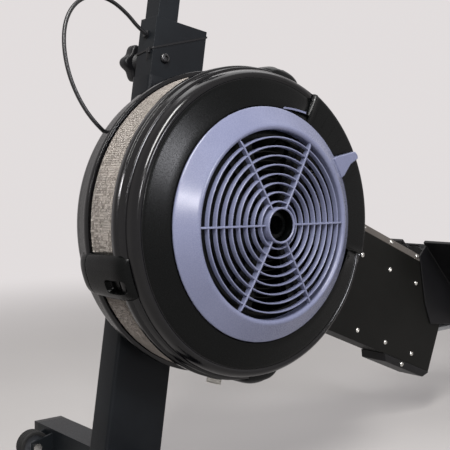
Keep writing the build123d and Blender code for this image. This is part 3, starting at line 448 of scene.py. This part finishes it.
# Profiles of the near cover as (radius, height): the raised face with its roll, the plain face along the
# lever's track, point for point beside it, and the rim and inside that both share.
RAISED = [(150, 3), (196.2, -8.3), (196.3, -8.35), (196.4, -4.6), (197.0, -3.8), (198.4, -3.8),
          (212, -7.15), (228, -11.1), (236, -13), (240.4, -14.2), (241.6, -15), (242.4, -15.4),
          (243.2, -14.8), (244.2, -13.9), (246.2, -13.2), (248.6, -13.4), (251.2, -14.9),
          (253.6, -17.4), (255.6, -20.8), (257.2, -25.4), (258, -32.2)]
TRACK = [(150, 3), (196.2, -8.3), (196.3, -8.35), (196.4, -8.4), (197.0, -8.45), (198.4, -8.5),
         (212, -9.5), (228, -10.6), (236, -11.1), (240.4, -11.4), (241.6, -11.5), (242.4, -11.55),
         (243.2, -11.6), (244.2, -11.7), (246.2, -11.8), (249, -12), (252.4, -12.3),
         (254.8, -12.9), (256.6, -14.4), (257.8, -17.5), (258, -32.2)]
RIM = [(258.4, -33), (261.2, -33.2), (262, -34), (262, -48.4), (262.6, -49.3), (265, -49.7), (266, -50.8),
       (266, -62.2), (265.2, -63), (258.2, -63), (258.2, -41), (254, -37), (253, -28), (244, -24), (150, 0)]
# Angle of each end wall of the track, with the way that leads beyond it; and for the points near a wall,
# the angle that they move to beside it and their share of the track's profile.
WALLS = ((-14, -1), (61, 1))
WALL_STEPS = {-2: (-1.4, 1.0), -1: (-0.8, 1.0), 0: (-0.25, 0.96), 1: (0.25, 0.06), 2: (0.9, 0.0)}
# Beyond each wall the face's inner lip stands off the dial, over some degrees, along the face's slope.
LIP_REACH = 19
LIP_STANDOFF = 15
FACE_SLOPE = 0.247
# The mesh between the covers, and the clamps that cross it.
MESH_RADIUS = 257.3
MESH_MIDDLE = -99
MESH_HALF = 50.5
CLAMP_ANGLES = (75, 197, 274, 340)


def lip_shift(beyond):
    """How far the face's inner lip stands off the dial, some degrees beyond an end of the track."""
    return LIP_STANDOFF * (1 - beyond / LIP_REACH) ** 1.2


def near_cover():
    """The face and its roll; plain over the lever's track, with a wall and a dipped lip at each end."""
    shell = lathe(RAISED + RIM, steps=360)
    for vertex in shell.data.vertices:
        offset = (vertex.co - HUB) / MM
        r, a = (offset.x ** 2 + offset.z ** 2) ** 0.5, -offset.y
        row = min(range(len(RAISED)), key=lambda k: abs(RAISED[k][0] - r) + abs(RAISED[k][1] - a))
        if abs(RAISED[row][0] - r) + abs(RAISED[row][1] - a) > 0.05:
            continue
        angle = round(degrees(atan2(offset.z, offset.x)))
        share = 1.0 if WALLS[0][0] < angle < WALLS[1][0] else 0.0
        lip = dip = bead = 0.0
        for wall, way in WALLS:
            beyond = (angle - wall) * way
            if 0 <= beyond < LIP_REACH and 2 <= row <= 5:
                lip = lip_shift(beyond)
            if 0 <= beyond < LIP_REACH and 6 <= row <= 16:
                dip = 2.4 * (1 - beyond / LIP_REACH) ** 2 + 4 * max(0.0, 1 - beyond / 5) ** 2
            bead = 1.3 if beyond == -1 and 6 <= row <= 18 else bead
            if abs(beyond) <= 2:
                shift, share = WALL_STEPS[beyond]
                angle = wall + way * shift
                break
        (r0, a0), (r1, a1) = RAISED[row], TRACK[row]
        r0, a0 = r0 + lip, a0 - FACE_SLOPE * lip - dip
        vertex.co = cage(r0 + (r1 - r0) * share, a0 + (a1 - a0) * share + bead, angle)
    smooth(shell, 50)
    mark = slab([cage(206, -9.6, -0.18), cage(240, -11.8, -0.15), cage(240, -11.2, -0.15),
                 cage(206, -8.9, -0.18)], Z * 1.3 * MM)
    marks = copies(mark, [round_hub(angle) for angle in range(-9, 59, 6)])
    cover = piece(join([shell, marks]), "near_cover_shell", cover_abs, "frame", ["near_cover"])
    cover.data.materials.append(rim_abs)
    for face in cover.data.polygons:
        offset = (face.center - HUB) / MM
        r = (offset.x ** 2 + offset.z ** 2) ** 0.5
        on_track = WALLS[0][0] < degrees(atan2(offset.z, offset.x)) < WALLS[1][0]
        face.material_index = 1 if r > 257.5 or r > 241.5 and not on_track else 0
    edge = []
    for beyond in (18.4, 16, 14, 12, 10, 8, 6, 4, 3):
        shift = lip_shift(beyond)
        edge.append(cage(196.5 + shift, -3.5 - FACE_SLOPE * shift, WALLS[1][0] + beyond))
    finger = strip(edge, Vector((0.33, 0, 0.94)) * 3.6 * MM, 1.3)
    piece(soften(finger, 0.3), "detent_finger", dial_abs, "frame")


def far_cover():
    """The plainer far side: a flat disc with its roll and rim."""
    profile = [(258.2, -135), (265.2, -135), (266, -135.8), (266, -147.2), (265, -148.3),
               (262.6, -148.7), (262, -149.6), (262, -164), (261.2, -164.8), (258.4, -165),
               (258, -166), (258, -175.5), (257.3, -180), (255.9, -183), (253.8, -184.9),
               (251.2, -185.6), (248.6, -184.9), (246.9, -183.5), (245.9, -181.7), (244.9, -181.4),
               (242, -183.4), (180, -195), (34, -195), (34, -192), (180, -192), (244, -179),
               (253, -178), (254, -161), (258.2, -157)]
    shell = smooth(lathe(profile, steps=180), 50)
    piece(shell, "far_cover_shell", rim_abs, "frame", ["far_cover"])


def mesh_band():
    """Strands crossing at 45 degrees, about 3 mm apart, in two lengths whose ends are under the clamps."""
    top, bottom = CLAMP_ANGLES[0], CLAMP_ANGLES[2]
    for name, first, last, cells in (("front", top, bottom, 218), ("rear", bottom, top + 360, 176)):
        deselect()
        bpy.ops.mesh.primitive_grid_add(x_subdivisions=cells, y_subdivisions=25, size=2)
        band = bpy.context.object
        bpy.ops.object.mode_set(mode="EDIT")
        bpy.ops.mesh.select_all(action="SELECT")
        bpy.ops.mesh.poke()
        bpy.ops.mesh.tris_convert_to_quads(face_threshold=pi, shape_threshold=pi)
        bpy.ops.object.mode_set(mode="OBJECT")
        for vertex in band.data.vertices:
            angle = first + (last - first) / 2 * (vertex.co.x + 1)
            vertex.co = cage(MESH_RADIUS, MESH_MIDDLE + MESH_HALF * vertex.co.y, angle)
        modify(merge(band), "WIREFRAME", thickness=1.5 * MM, use_even_offset=False, use_boundary=True)
        piece(band, f"mesh_strands_{name}", mesh_wire, "frame", ["mesh_band"])


def clamp_boss():
    """A swelling boss across the mesh, rim to rim at angle 0, with a screw pocket at its near end."""
    deselect()
    bpy.ops.mesh.primitive_grid_add(x_subdivisions=64, y_subdivisions=96, size=2)
    boss = bpy.context.object
    for vertex in boss.data.vertices:
        u, v = vertex.co.x, vertex.co.y
        swell = (max(0.0, 1 - abs(u) ** 3) * max(0.0, 1 - abs(v) ** 7)) ** 0.5
        pocket = (abs(u - 0.27) / 0.27) ** 4 + (abs(v - 0.54) / 0.36) ** 6
        seam = 0.9 if abs(v + 0.56) < 0.012 else 0.0
        height = 259 + 17.8 * swell - 11 * min(1.0, max(0.0, (1.25 - pocket) / 0.5)) - seam
        vertex.co = cage(height, -98 + 67 * v, (8.5 - 0.9 * max(0.0, -v) - 1.6 * max(0.0, v) ** 5) * u)
    modify(boss, "SOLIDIFY", thickness=3 * MM, offset=-1.0)
    return smooth(merge(boss), 42)


def housing_clamps():
    bosses = copies(clamp_boss(), [round_hub(angle) for angle in CLAMP_ANGLES])
    piece(bosses, "clamp_bosses", cover_abs, "frame", ["housing_clamps"])
    turned = [angle + 2.3 for angle in CLAMP_ANGLES]
    places = [(cage(258.5, -52, angle), cage(1, 0, angle) - HUB) for angle in turned]
    screws = copies(button_head(4.2), [stand(point, way) for point, way in places])
    piece(screws, "clamp_screws", black_steel, "frame")


# Bolts and screws

def button_head(radius):
    """A domed head with a hexagon socket, standing on z = 0."""
    deselect()
    bpy.ops.mesh.primitive_circle_add(vertices=24, radius=radius * MM, fill_type="NGON")
    head = bpy.context.object
    bpy.ops.object.mode_set(mode="EDIT")
    for rise, shrink in ((0.14, 1.0), (0.16, 0.93), (0.14, 0.86), (0.08, 0.76)):
        bpy.ops.mesh.extrude_region_move(TRANSFORM_OT_translate={"value": Z * rise * radius * MM})
        bpy.ops.transform.resize(value=(shrink, shrink, 1))
    bpy.ops.mesh.inset(thickness=0.08 * radius * MM)
    bpy.ops.object.mode_set(mode="OBJECT")
    for vertex in head.data.vertices:
        if vertex.select:
            angle = atan2(vertex.co.y, vertex.co.x) % (pi / 3) - pi / 6
            vertex.co.xy = vertex.co.xy.normalized() * 0.44 * radius * MM / cos(angle)
    bpy.ops.object.mode_set(mode="EDIT")
    bpy.ops.mesh.extrude_region_move(TRANSFORM_OT_translate={"value": -Z * 0.34 * radius * MM})
    bpy.ops.object.mode_set(mode="OBJECT")
    return smooth(merge(head), 30)


def frame_bolts():
    """Rows of bolts at one spacing along the beam's sides and lid."""
    pitch = 102
    places = []
    for side in (-1, 1):
        rows = [(516 + pitch * k, -65, 32) for k in range(-4, 3)]
        rows += [(468 + pitch * k, 94, 32) for k in range(-3, 3)]
        rows.append((690, -97.5, 36))
        places += [(beam(s, t, side * y), Y * side) for s, t, y in rows]
        lid = Vector((sin(SLOPE), side, cos(SLOPE)))
        places += [(beam(461 + pitch * k, 157, side * 21), lid) for k in range(-4, 3)]
    heads = copies(button_head(5.5), [stand(point, way, 17 * k) for k, (point, way) in enumerate(places)])
    piece(heads, "frame_bolt_heads", zinc, "frame", ["frame_bolts"])


def pivot_bolt():
    """The mast's pivot: a domed head at the near cheek, and the stud under the knob."""
    head = button_head(9.6)
    head.data.transform(stand(post(*PIVOT, -25), -Y, 20))
    profile = [(0, -25), (6, -25), (6, 25), (5, 25.2), (5, 64), (4.2, 65), (0, 65)]
    shank = smooth(lathe(profile, 24, post(*PIVOT), Y))
    piece(join([head, shank]), "pivot_bolt_turned", black_steel, "frame", ["pivot_bolt"])


# Damper dial

def crown(r):
    """Height of the dial's domed grille at a radius."""
    return 26.5 - 5 * (r / 150) ** 2


def damper_dial():
    """One moulding: a sloping rim with a rolled inner lip, rings on six spokes, the hub and the lever."""
    rim = [(156, 2.3), (192.6, -6.6), (193.4, -3.6), (195, -2.4), (195, -1.6), (194.5, -0.5),
           (193.5, 0.3), (191.5, 1.7), (166.3, 19.3)]
    middle, height, roll = 161.4, 16.2, 5.4
    for angle in range(60, 181, 15):
        t = radians(angle)
        rim.append((middle + roll * cos(t), height + roll * sin(t)))
    parts = [smooth(lathe(rim, steps=240), 50)]
    for k in range(8):
        r = 38.8 + 15 * k
        top = crown(r)
        bar = [(r - 1.35, top - 9), (r - 1.25, top - 1.1), (r - 0.8, top - 0.3), (r, top),
               (r + 0.8, top - 0.3), (r + 1.25, top - 1.1), (r + 1.35, top - 9)]
        parts.append(smooth(lathe(bar, steps=144), 50))
    hub = [(21.6, 5.1), (29.9, 5.1), (29.9, 30.8), (29.5, 31.9), (28.6, 32.5), (27.4, 32.4),
           (26.6, 31.6), (26.2, 30.2), (26.2, 7), (21.6, 7)]
    parts.append(smooth(lathe(hub, steps=72), 50))
    reach = [27, 50, 80, 110, 135, 148]
    blade = [cage(r, crown(r) + 0.35, 0) for r in reach]
    blade += [cage(153, 20.8), cage(156.8, 18.4), cage(156.8, 12.4), cage(27, 12.4)]
    spoke = soften(slab([point - Z * 1.6 * MM for point in blade], Z * 3.2 * MM), 0.8, 2, 40)
    parts.append(copies(spoke, [round_hub(60 * k) for k in range(6)]))
    rows = [(188, -5.5), (197, -5), (220, -2), (242, -2), (243.6, -0.5), (241, 1.5), (232, 2.2),
            (195, 6.3), (188, 6.5)]
    lever = slab([cage(r, -5, 30 + da) for r, da in rows], -Y * 11 * MM)
    parts.append(soften(lever, 1.8, 3))
    dial = piece(join(parts), "damper_dial_moulding", dial_abs, "damper", ["damper_dial"])
    # The faces inside the hub's bore take the black plastic: painted shade for the dark hole in the grey
    # moulding.
    dial.data.materials.append(cover_abs)
    for face in dial.data.polygons:
        offset = (face.center - HUB) / MM
        if offset.x ** 2 + offset.z ** 2 < 26.4 ** 2 and -offset.y < 27:
            face.material_index = 1


# Post, fork and mast

def front_post():
    """A rounded box tube cut level at its foot, with a window through it about the fan's axis."""
    half_deep, half_wide, corner = 60, 28, 6
    foot, length = -432, 687
    points = []
    for k, (along, aside) in enumerate([(-1, -1), (1, -1), (1, 1), (-1, 1)]):
        p, y = along * (half_deep - corner), aside * (half_wide - corner)
        for step in range(6):
            t = radians(180 + 90 * k + 18 * step)
            points.append(post(p + corner * cos(t), foot, y + corner * sin(t)))
    tube = line(points)
    bpy.ops.mesh.extrude_region_move(TRANSFORM_OT_translate={"value": POST_UP * length * MM})
    bpy.ops.mesh.select_all(action="SELECT")
    bpy.ops.mesh.bisect(plane_co=Z * 64 * MM, plane_no=Z, clear_inner=True)
    modify(merge(settle(tube)), "SOLIDIFY", thickness=3 * MM, offset=-1.0)
    window = lathe([(0, -300), (60, -300), (60, -180), (0, -180)], steps=64)
    modify(tube, "BOOLEAN", operation="DIFFERENCE", object=window, solver="EXACT")
    bpy.data.objects.remove(window)
    piece(smooth(tube, 30), "front_post_tube", powder_coat, "frame", ["front_post"])


def mast_knob():
    """A five-lobed clamp knob with a rounded body and a neck, on the far end of the mast's pivot."""
    lobes = []
    for k in range(60):
        t = radians(6 * k)
        r = (30.8 + 4.1 * cos(5 * t)) * MM
        lobes.append(Vector((r * cos(t), r * sin(t), 51.4 * MM)))
    body = slab(lobes, Z * 23.6 * MM)
    modify(body, "BEVEL", width=5.5 * MM, segments=4, limit_method="ANGLE", angle_limit=radians(60))
    profile = [(5.1, 25.4), (12.8, 25.4), (13, 27), (13, 31), (11.5, 35), (11.5, 42), (14, 47),
               (20, 52), (5.1, 53)]
    neck = lathe(profile, 40, Vector(), Z)
    cap = lathe([(0, 74.5), (15, 74.5), (15, 74.9), (13.8, 75.1), (8, 75.2), (0, 75.3)], 40, Vector(), Z)
    knob = smooth(join([body, neck, cap]), 40)
    knob.data.transform(stand(post(*PIVOT), Y))
    piece(knob, "mast_knob_moulding", nylon, "knob", ["mast_knob"])


def fork_band():
    """A flat band that is sprung round the fork's front, with its tail hanging at the front corner."""
    turns = [post(57.6, 350, -22), post(57.6, 350, -25.8), post(-56, 303, -25.8), post(-57.8, 302.5, -24),
             post(-57.8, 295, 24), post(-56, 295, 25.8), post(57.6, 338, 25.8), post(57.6, 338, 22)]
    band = strip(turns, POST_UP * 3.4 * MM, 1.5)
    tail = strip([post(-58.8, 306, -17), post(-61.5, 298, -16.5), post(-60, 284, -15)], Y * 4 * MM, 1.2)
    corners = [(-57.6, -19), (-57.6, -11), (-62.4, -11), (-62.4, -19)]
    lock = soften(slab([post(p, 295, y) for p, y in corners], POST_UP * 8 * MM), 0.8)
    piece(smooth(join([band, tail, lock]), 30), "fork_band", nylon, "frame")


def lead_plug():
    """A white two-way plug clipped under the cage, on a black tab from the rim."""
    deselect()
    bpy.ops.mesh.primitive_cube_add(size=1, location=cage(288, -150, 270.8))
    plug = bpy.context.object
    plug.scale, plug.rotation_euler = (26 * MM, 10 * MM, 9 * MM), (0.1, radians(14), radians(-35))
    settle(plug)
    bpy.ops.object.mode_set(mode="EDIT")
    bpy.ops.mesh.select_all(action="SELECT")
    bpy.ops.mesh.inset(thickness=1.6 * MM, use_individual=True)
    bpy.ops.mesh.extrude_faces_move(TRANSFORM_OT_shrink_fatten={"value": -0.8 * MM})
    bpy.ops.object.mode_set(mode="OBJECT")
    piece(soften(plug, 0.5), "lead_plug", white_nylon, "frame")
    tab = slab([cage(262, -146, 270), cage(262, -146, 272), cage(284, -148, 271.8), cage(284, -148, 270.2)],
               Y * 4 * MM)
    piece(soften(tab, 0.8), "lead_plug_tab", nylon, "frame")


# Stands

def foot_pads():
    profile = [(0, 0), (22.6, 0), (24, 1.2), (24, 3.4), (22.6, 4.2), (22.6, 5.4), (23.2, 6.2),
               (21, 13), (20, 14), (0, 14)]
    low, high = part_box("foot_pads")
    places = [(low.x + 24 * MM, 238), (high.x - 24 * MM, 168)]
    pad = smooth(lathe(profile, 48, Vector(), Z), 40)
    spots = [Matrix.Translation((x, side * y * MM, 0)) for x, y in places for side in (-1, 1)]
    piece(copies(pad, spots), "rubber_feet", rubber, "frame", ["foot_pads"])


def transport_wheels():
    for name in ("near", "far"):
        low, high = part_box(f"transport_wheel_{name}")
        centre = Vector(((low.x + high.x) / 2, (low.y + high.y) / 2, (low.z + high.z) / 2))
        tread = [(23, -12), (28, -12), (29.4, -11), (30, -9.4)]
        for y in (-6, 0, 6):
            tread += [(30, y - 1.6), (28.8, y - 1), (28.8, y + 1), (30, y + 1.6)]
        tread += [(30, 9.4), (29.4, 11), (28, 12), (23, 12)]
        tyre = smooth(lathe(tread, 64, centre, Y), 40)
        piece(tyre, f"wheel_tyre_{name}", rubber, f"wheel_{name}", [f"transport_wheel_{name}"])
        core = [(5.1, -13.5), (10.4, -13.5), (11.2, -12.7), (12, -8.6), (21, -8.6), (22, -10.6),
                (23.4, -10.6), (23.4, 10.6), (22, 10.6), (21, 8.6), (12, 8.6), (11.2, 12.7),
                (10.4, 13.5), (5.1, 13.5)]
        rim = smooth(lathe(core, 64, centre, Y), 40)
        piece(rim, f"wheel_core_{name}", grey_nylon, f"wheel_{name}")


# Pull

def handle():
    low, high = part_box("handle_grips")
    centre = Vector(((low.x + high.x) / 2, 0, (low.z + high.z) / 2))
    bar = [(0, -53), (11, -53), (11, -47), (12.4, -46), (14, -43), (14, 43), (12.4, 46), (11, 47),
           (11, 53), (0, 53)]
    turned = smooth(lathe(bar, 48, centre, Y), 40)
    piece(turned, "handle_bar_turned", powder_coat, "handle", ["handle_bar"])
    grip = [(0, 52), (14, 52), (16, 53.6)]
    for k in range(18):
        y = 60 + 9.4 * k
        grip += [(16, y), (15.2, y + 1), (15.2, y + 2), (16, y + 3)]
    grip += [(16, 236), (15, 238.8), (12.5, 240), (0, 240)]
    sleeve = smooth(lathe(grip, 40, centre, Y), 40)
    about = Matrix.Translation(centre) @ Matrix.Rotation(pi, 4, "Z") @ Matrix.Translation(-centre)
    both = copies(sleeve, [Matrix(), about])
    piece(both, "handle_sleeves", foam, "handle", ["handle_grips"])


def straps():
    run = broken_edges("strap_run", width=0.5)
    piece(run, "drive_strap", webbing, "frame", ["strap_run"])
    pull = broken_edges("pull_strap", width=0.5)
    pull.name = pull.data.name = "pull_strap_web"
    pull.data.materials.clear()
    pull.data.materials.append(webbing)
    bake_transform(pull)
    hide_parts("pull_strap")


# Foot rests

def foot_rests():
    """Ribbed boards with sliding heel cups, strap loops and their buckles."""
    spread = 96
    for side, name in ((-1, "near"), (1, "far")):
        plate = broken_edges(f"foot_board_{name}", width=1.5)
        corners = [(212, -48), (212, 48), (216, 48), (216, -48)]
        rib = slab([board(u, -0.5, side * spread + y) for u, y in corners], BOARD_OUT * 2.3 * MM)
        soften(rib, 0.9)
        step = Vector((-cos(TILT), 0, sin(TILT))) * MM
        rows = [Matrix.Translation(step * along) for along in (-58, -46, 0, 14, 28, 42, 56, 70)]
        moulding = join([plate, copies(rib, rows)])
        piece(moulding, f"foot_board_moulding_{name}", nylon, "frame", [f"foot_board_{name}"])
        cup = broken_edges(f"heel_cup_{name}", width=1.6, segments=3)
        piece(cup, f"heel_cup_moulding_{name}", grey_nylon, f"heel_{name}", [f"heel_cup_{name}"])
    loops = broken_edges("foot_straps", width=0.6)
    piece(loops, "foot_strap_loops", webbing, "frame", ["foot_straps"])
    buckles = []
    for side in (-1, 1):
        corners = [(160, -16), (160, 16), (200, 16), (200, -16)]
        buckle = slab([board(u, 70.6, side * spread + y) for u, y in corners], BOARD_OUT * 4 * MM)
        buckles.append(soften(buckle, 1.4, 3))
    piece(join(buckles), "foot_strap_buckles", nylon, "frame")


# Seat

def seat_pad():
    """A firm moulded pad: rolled edge, two hollows and a relief at each end, under coated cloth."""
    half_length, half_width = 139, 169
    along, base = 480, 42.8
    faces = []
    for top in (True, False):
        deselect()
        bpy.ops.mesh.primitive_grid_add(x_subdivisions=56, y_subdivisions=64, size=2)
        sheet = bpy.context.object
        for vertex in sheet.data.vertices:
            u, v = vertex.co.x, vertex.co.y
            reach = max(abs(u), abs(v))
            length = (abs(u) ** 4.5 + abs(v) ** 4.5) ** (1 / 4.5) or 1.0
            u, v = u / length * reach, v / length * reach
            edge = max(0.0, reach - 0.74) / 0.26
            roll = max(0.0, 1 - edge ** 2.2) ** 0.5
            x, y = half_length * u, half_width * v
            if top:
                hollows = [1 - ((x - 12) / 74) ** 2 - ((y - side * 62) / 60) ** 2 for side in (-1, 1)]
                dip = sum(8.5 * max(0.0, hollow) ** 1.5 for hollow in hollows)
                relief = 11 * max(0.0, 1 - ((x - 128) / 62) ** 2 - (y / 26) ** 2) ** 1.2
                relief += 10 * max(0.0, 1 - ((x + 124) / 74) ** 2 - (y / 40) ** 2) ** 1.2
                z = 18 + (21.6 - 2.5 * (reach ** 2)) * roll - dip - relief * roll
            else:
                z = 18 - 17.6 * min(1.0, 1.15 * roll)
            vertex.co = on_rail(along + x, y, base + z)
        faces.append(sheet)
    pad = merge(join(faces))
    modify(pad, "SUBSURF", levels=1, render_levels=1)
    piece(smooth(pad, 60), "seat_cushion", upholstery, "seat", ["seat_pad"])


# Monitor

def face_plate(off, half, low, high, depth):
    """A plate some way off the monitor's pivot, of a half width, from low to high on the upright face."""
    corners = ((-half, low), (half, low), (half, high), (-half, high))
    return slab([Vector((off, y, z)) * MM for y, z in corners], X * depth * MM)


def monitor():
    tip = Vector(JOINTS["monitor_tilt"]["pos_m"])
    place = Matrix.Translation(tip) @ Matrix.Rotation(radians(-12), 4, "Y")
    shell = broken_edges("monitor_case", width=1.2, segments=3)
    piece(shell, "monitor_shell", grey_nylon, "monitor", ["monitor_case"])
    bezel = face_plate(65.6, 82, -14, 86, 1.2)
    bezel.data.transform(place)
    piece(soften(bezel, 0.5), "monitor_bezel", nylon, "monitor")
    glass = face_plate(66.5, 74, -6, 78, 1.0)
    glass.data.transform(place)
    piece(soften(glass, 0.4), "monitor_glass", acrylic, "monitor", ["monitor_screen"])
    key = soften(face_plate(65.6, 10, -40, -27, 1.6), 1.0, 3)
    keys = copies(key, [place @ Matrix.Translation(Y * 30 * k * MM) for k in range(-2, 3)])
    piece(keys, "monitor_keys", rubber, "monitor")


# Finishes of the solids that stay, and of those that only need their edges broken

def plain_pieces():
    edged = [
        ("mast_fork_folded", powder_coat, "frame", "mast_fork", 1.4, "frame_slate"),
        ("beam_side_near", panel_coat, "frame", "beam_plate_near", 0.9, "frame_slate"),
        ("beam_side_far", panel_coat, "frame", "beam_plate_far", 0.9, "frame_slate"),
        # The lid's lighter warm grey is partly painted sheen for the top light.
        ("beam_lid", lid_coat_and_painted_sheen, "frame", "beam_top_cap", 1.4, "cap_bronze"),
        ("beam_skid_block", nylon, "frame", "beam_skid", 2.5, "trim_black"),
        ("front_foot_tube", powder_coat, "frame", "front_stabiliser", 1.2, "frame_slate"),
        ("rear_foot_tube", powder_coat, "frame", "rear_leg", 1.2, "frame_slate"),
        ("rail_extrusion", anodised, "frame", "rail", 1.4, "rail_aluminium"),
        ("rail_end_moulding", nylon, "frame", "rail_end_cap", 3.0, "trim_black"),
        ("rail_buffers", rubber, "frame", "rail_stops", 3.0, "wheel_rubber"),
        ("handle_hooks", nylon, "frame", "handle_cradle", 1.6, "trim_black"),
        ("seat_frame", powder_coat, "seat", "seat_carriage", 0.9, "frame_slate"),
        ("mast_tube", powder_coat, "mast", "monitor_arm", 1.4, "frame_slate"),
        ("mast_head", nylon, "mast", "monitor_bracket", 1.4, "trim_black"),
    ]
    for name, material, body, node, width, slot in edged:
        piece(broken_edges(node, width=width, segments=3), name, material, body, [node])
    stays = {
        cover_abs: ["vent_guard", "damper_shutter"],
        panel_coat: ["beam_floor"],
        nylon: ["end_caps", "drive_spool", "recoil_case", "guide_roller", "seat_rollers_front",
                "seat_rollers_rear", "keeper_rollers", "cable_glands"],
        zinc: ["cover_standoffs", "wheel_axles"],
        ground_steel: ["axle", "axle_bearings", "roller_pin", "seat_axles", "rail_track"],
        # The fan is near-black as painted shade for the unlit inside of the cage.
        fan_sheet_painted_shade: ["fan_wheel"],
        cast_iron: ["flywheel_disc"],
    }
    for material, nodes in stays.items():
        for node in nodes:
            for holder in frame["nodes"][node].material_slots:
                holder.material = material


# Floor, light and background

BACKDROP = "#f4efef"
BACKDROP_LEVEL = 0.84


def lamp(name, place, size, power, tint):
    data = bpy.data.lights.new(name, "AREA")
    data.shape, data.size, data.size_y, data.energy = "RECTANGLE", size[0], size[1], power
    data.color = colour(tint)[:3]
    made = bpy.data.objects.new(name, data)
    bpy.context.collection.objects.link(made)
    aim = (HUB - Vector(place)).to_track_quat("-Z", "Y").to_matrix().to_4x4()
    made.matrix_world = Matrix.Translation(place) @ aim


def seen_rays(owner):
    """1 for rays that show a surface, straight or in a reflection, and 0 for those that only light it."""
    path = add(owner, "ShaderNodeLightPath")
    seen = path.outputs["Is Camera Ray"]
    for kind in ("Is Glossy Ray", "Is Transmission Ray"):
        either = add(owner, "ShaderNodeMath", {0: seen, 1: path.outputs[kind]}, operation="MAXIMUM")
        seen = either.outputs["Value"]
    return seen


def studio_paper():
    """Matt paper that keeps the object's shadow near it and runs out into the pale background."""
    paper = grained("matt_studio_paper", "#a8a5a3", "#aeaba9", 0.9, 6.0, 0.02, cloud=900)
    nodes = paper.node_tree.nodes
    place = add(paper, "ShaderNodeTexCoord").outputs["Object"]
    away = add(paper, "ShaderNodeVectorMath", {0: place}, operation="LENGTH")
    fade = add(paper, "ShaderNodeMapRange",
               {"Value": away.outputs["Value"], "From Min": 1.2, "From Max": 3.4, "To Min": 0.28},
               interpolation_type="SMOOTHSTEP")
    share = add(paper, "ShaderNodeMath", {0: fade.outputs["Result"], 1: seen_rays(paper)},
                operation="MULTIPLY")
    glow = add(paper, "ShaderNodeEmission", {"Color": colour(BACKDROP), "Strength": BACKDROP_LEVEL})
    both = add(paper, "ShaderNodeMixShader",
               {0: share.outputs["Value"], 1: nodes["Principled BSDF"].outputs["BSDF"],
                2: glow.outputs["Emission"]})
    paper.node_tree.links.new(both.outputs["Shader"], nodes["Material Output"].inputs["Surface"])
    return paper


def studio():
    world = bpy.data.worlds.new("studio")
    bpy.context.scene.world = world
    world.use_nodes = True
    back = world.node_tree.nodes["Background"]
    back.inputs["Color"].default_value = colour(BACKDROP)
    level = add(world, "ShaderNodeMapRange",
                {"Value": seen_rays(world), "To Min": 0.12, "To Max": BACKDROP_LEVEL})
    world.node_tree.links.new(level.outputs["Result"], back.inputs["Strength"])
    deselect()
    bpy.ops.mesh.primitive_plane_add(size=30, location=(0, 0, -0.0005))
    floor = bpy.context.object
    floor.name = "studio_floor"
    floor.data.materials.append(studio_paper())
    # A glow on the cage's face, a highlight on the dial, daylight along the roll, and a soft top light.
    lamp("front_softbox", HUB + Vector((0.39, -2.55, 0.79)), (0.5, 0.6), 33, "#f8f8ff")
    lamp("front_spot", HUB + Vector((-1.45, -2.14, 0.72)), (0.2, 0.35), 17, "#fffcff")
    lamp("left_window", HUB + Vector((-1.15, -0.95, 1.85)), (0.5, 1.8), 92, "#fffefc")
    lamp("overhead", HUB + Vector((1.0, 0.8, 2.6)), (3.0, 2.0), 36, "#ffffff")
    bpy.context.scene.view_settings.view_transform = "Standard"


camera()
sensor_lead()
near_cover()
far_cover()
mesh_band()
housing_clamps()
damper_dial()
front_post()
mast_knob()
fork_band()
lead_plug()
frame_bolts()
pivot_bolt()
foot_pads()
transport_wheels()
handle()
straps()
foot_rests()
seat_pad()
monitor()
plain_pieces()
studio()
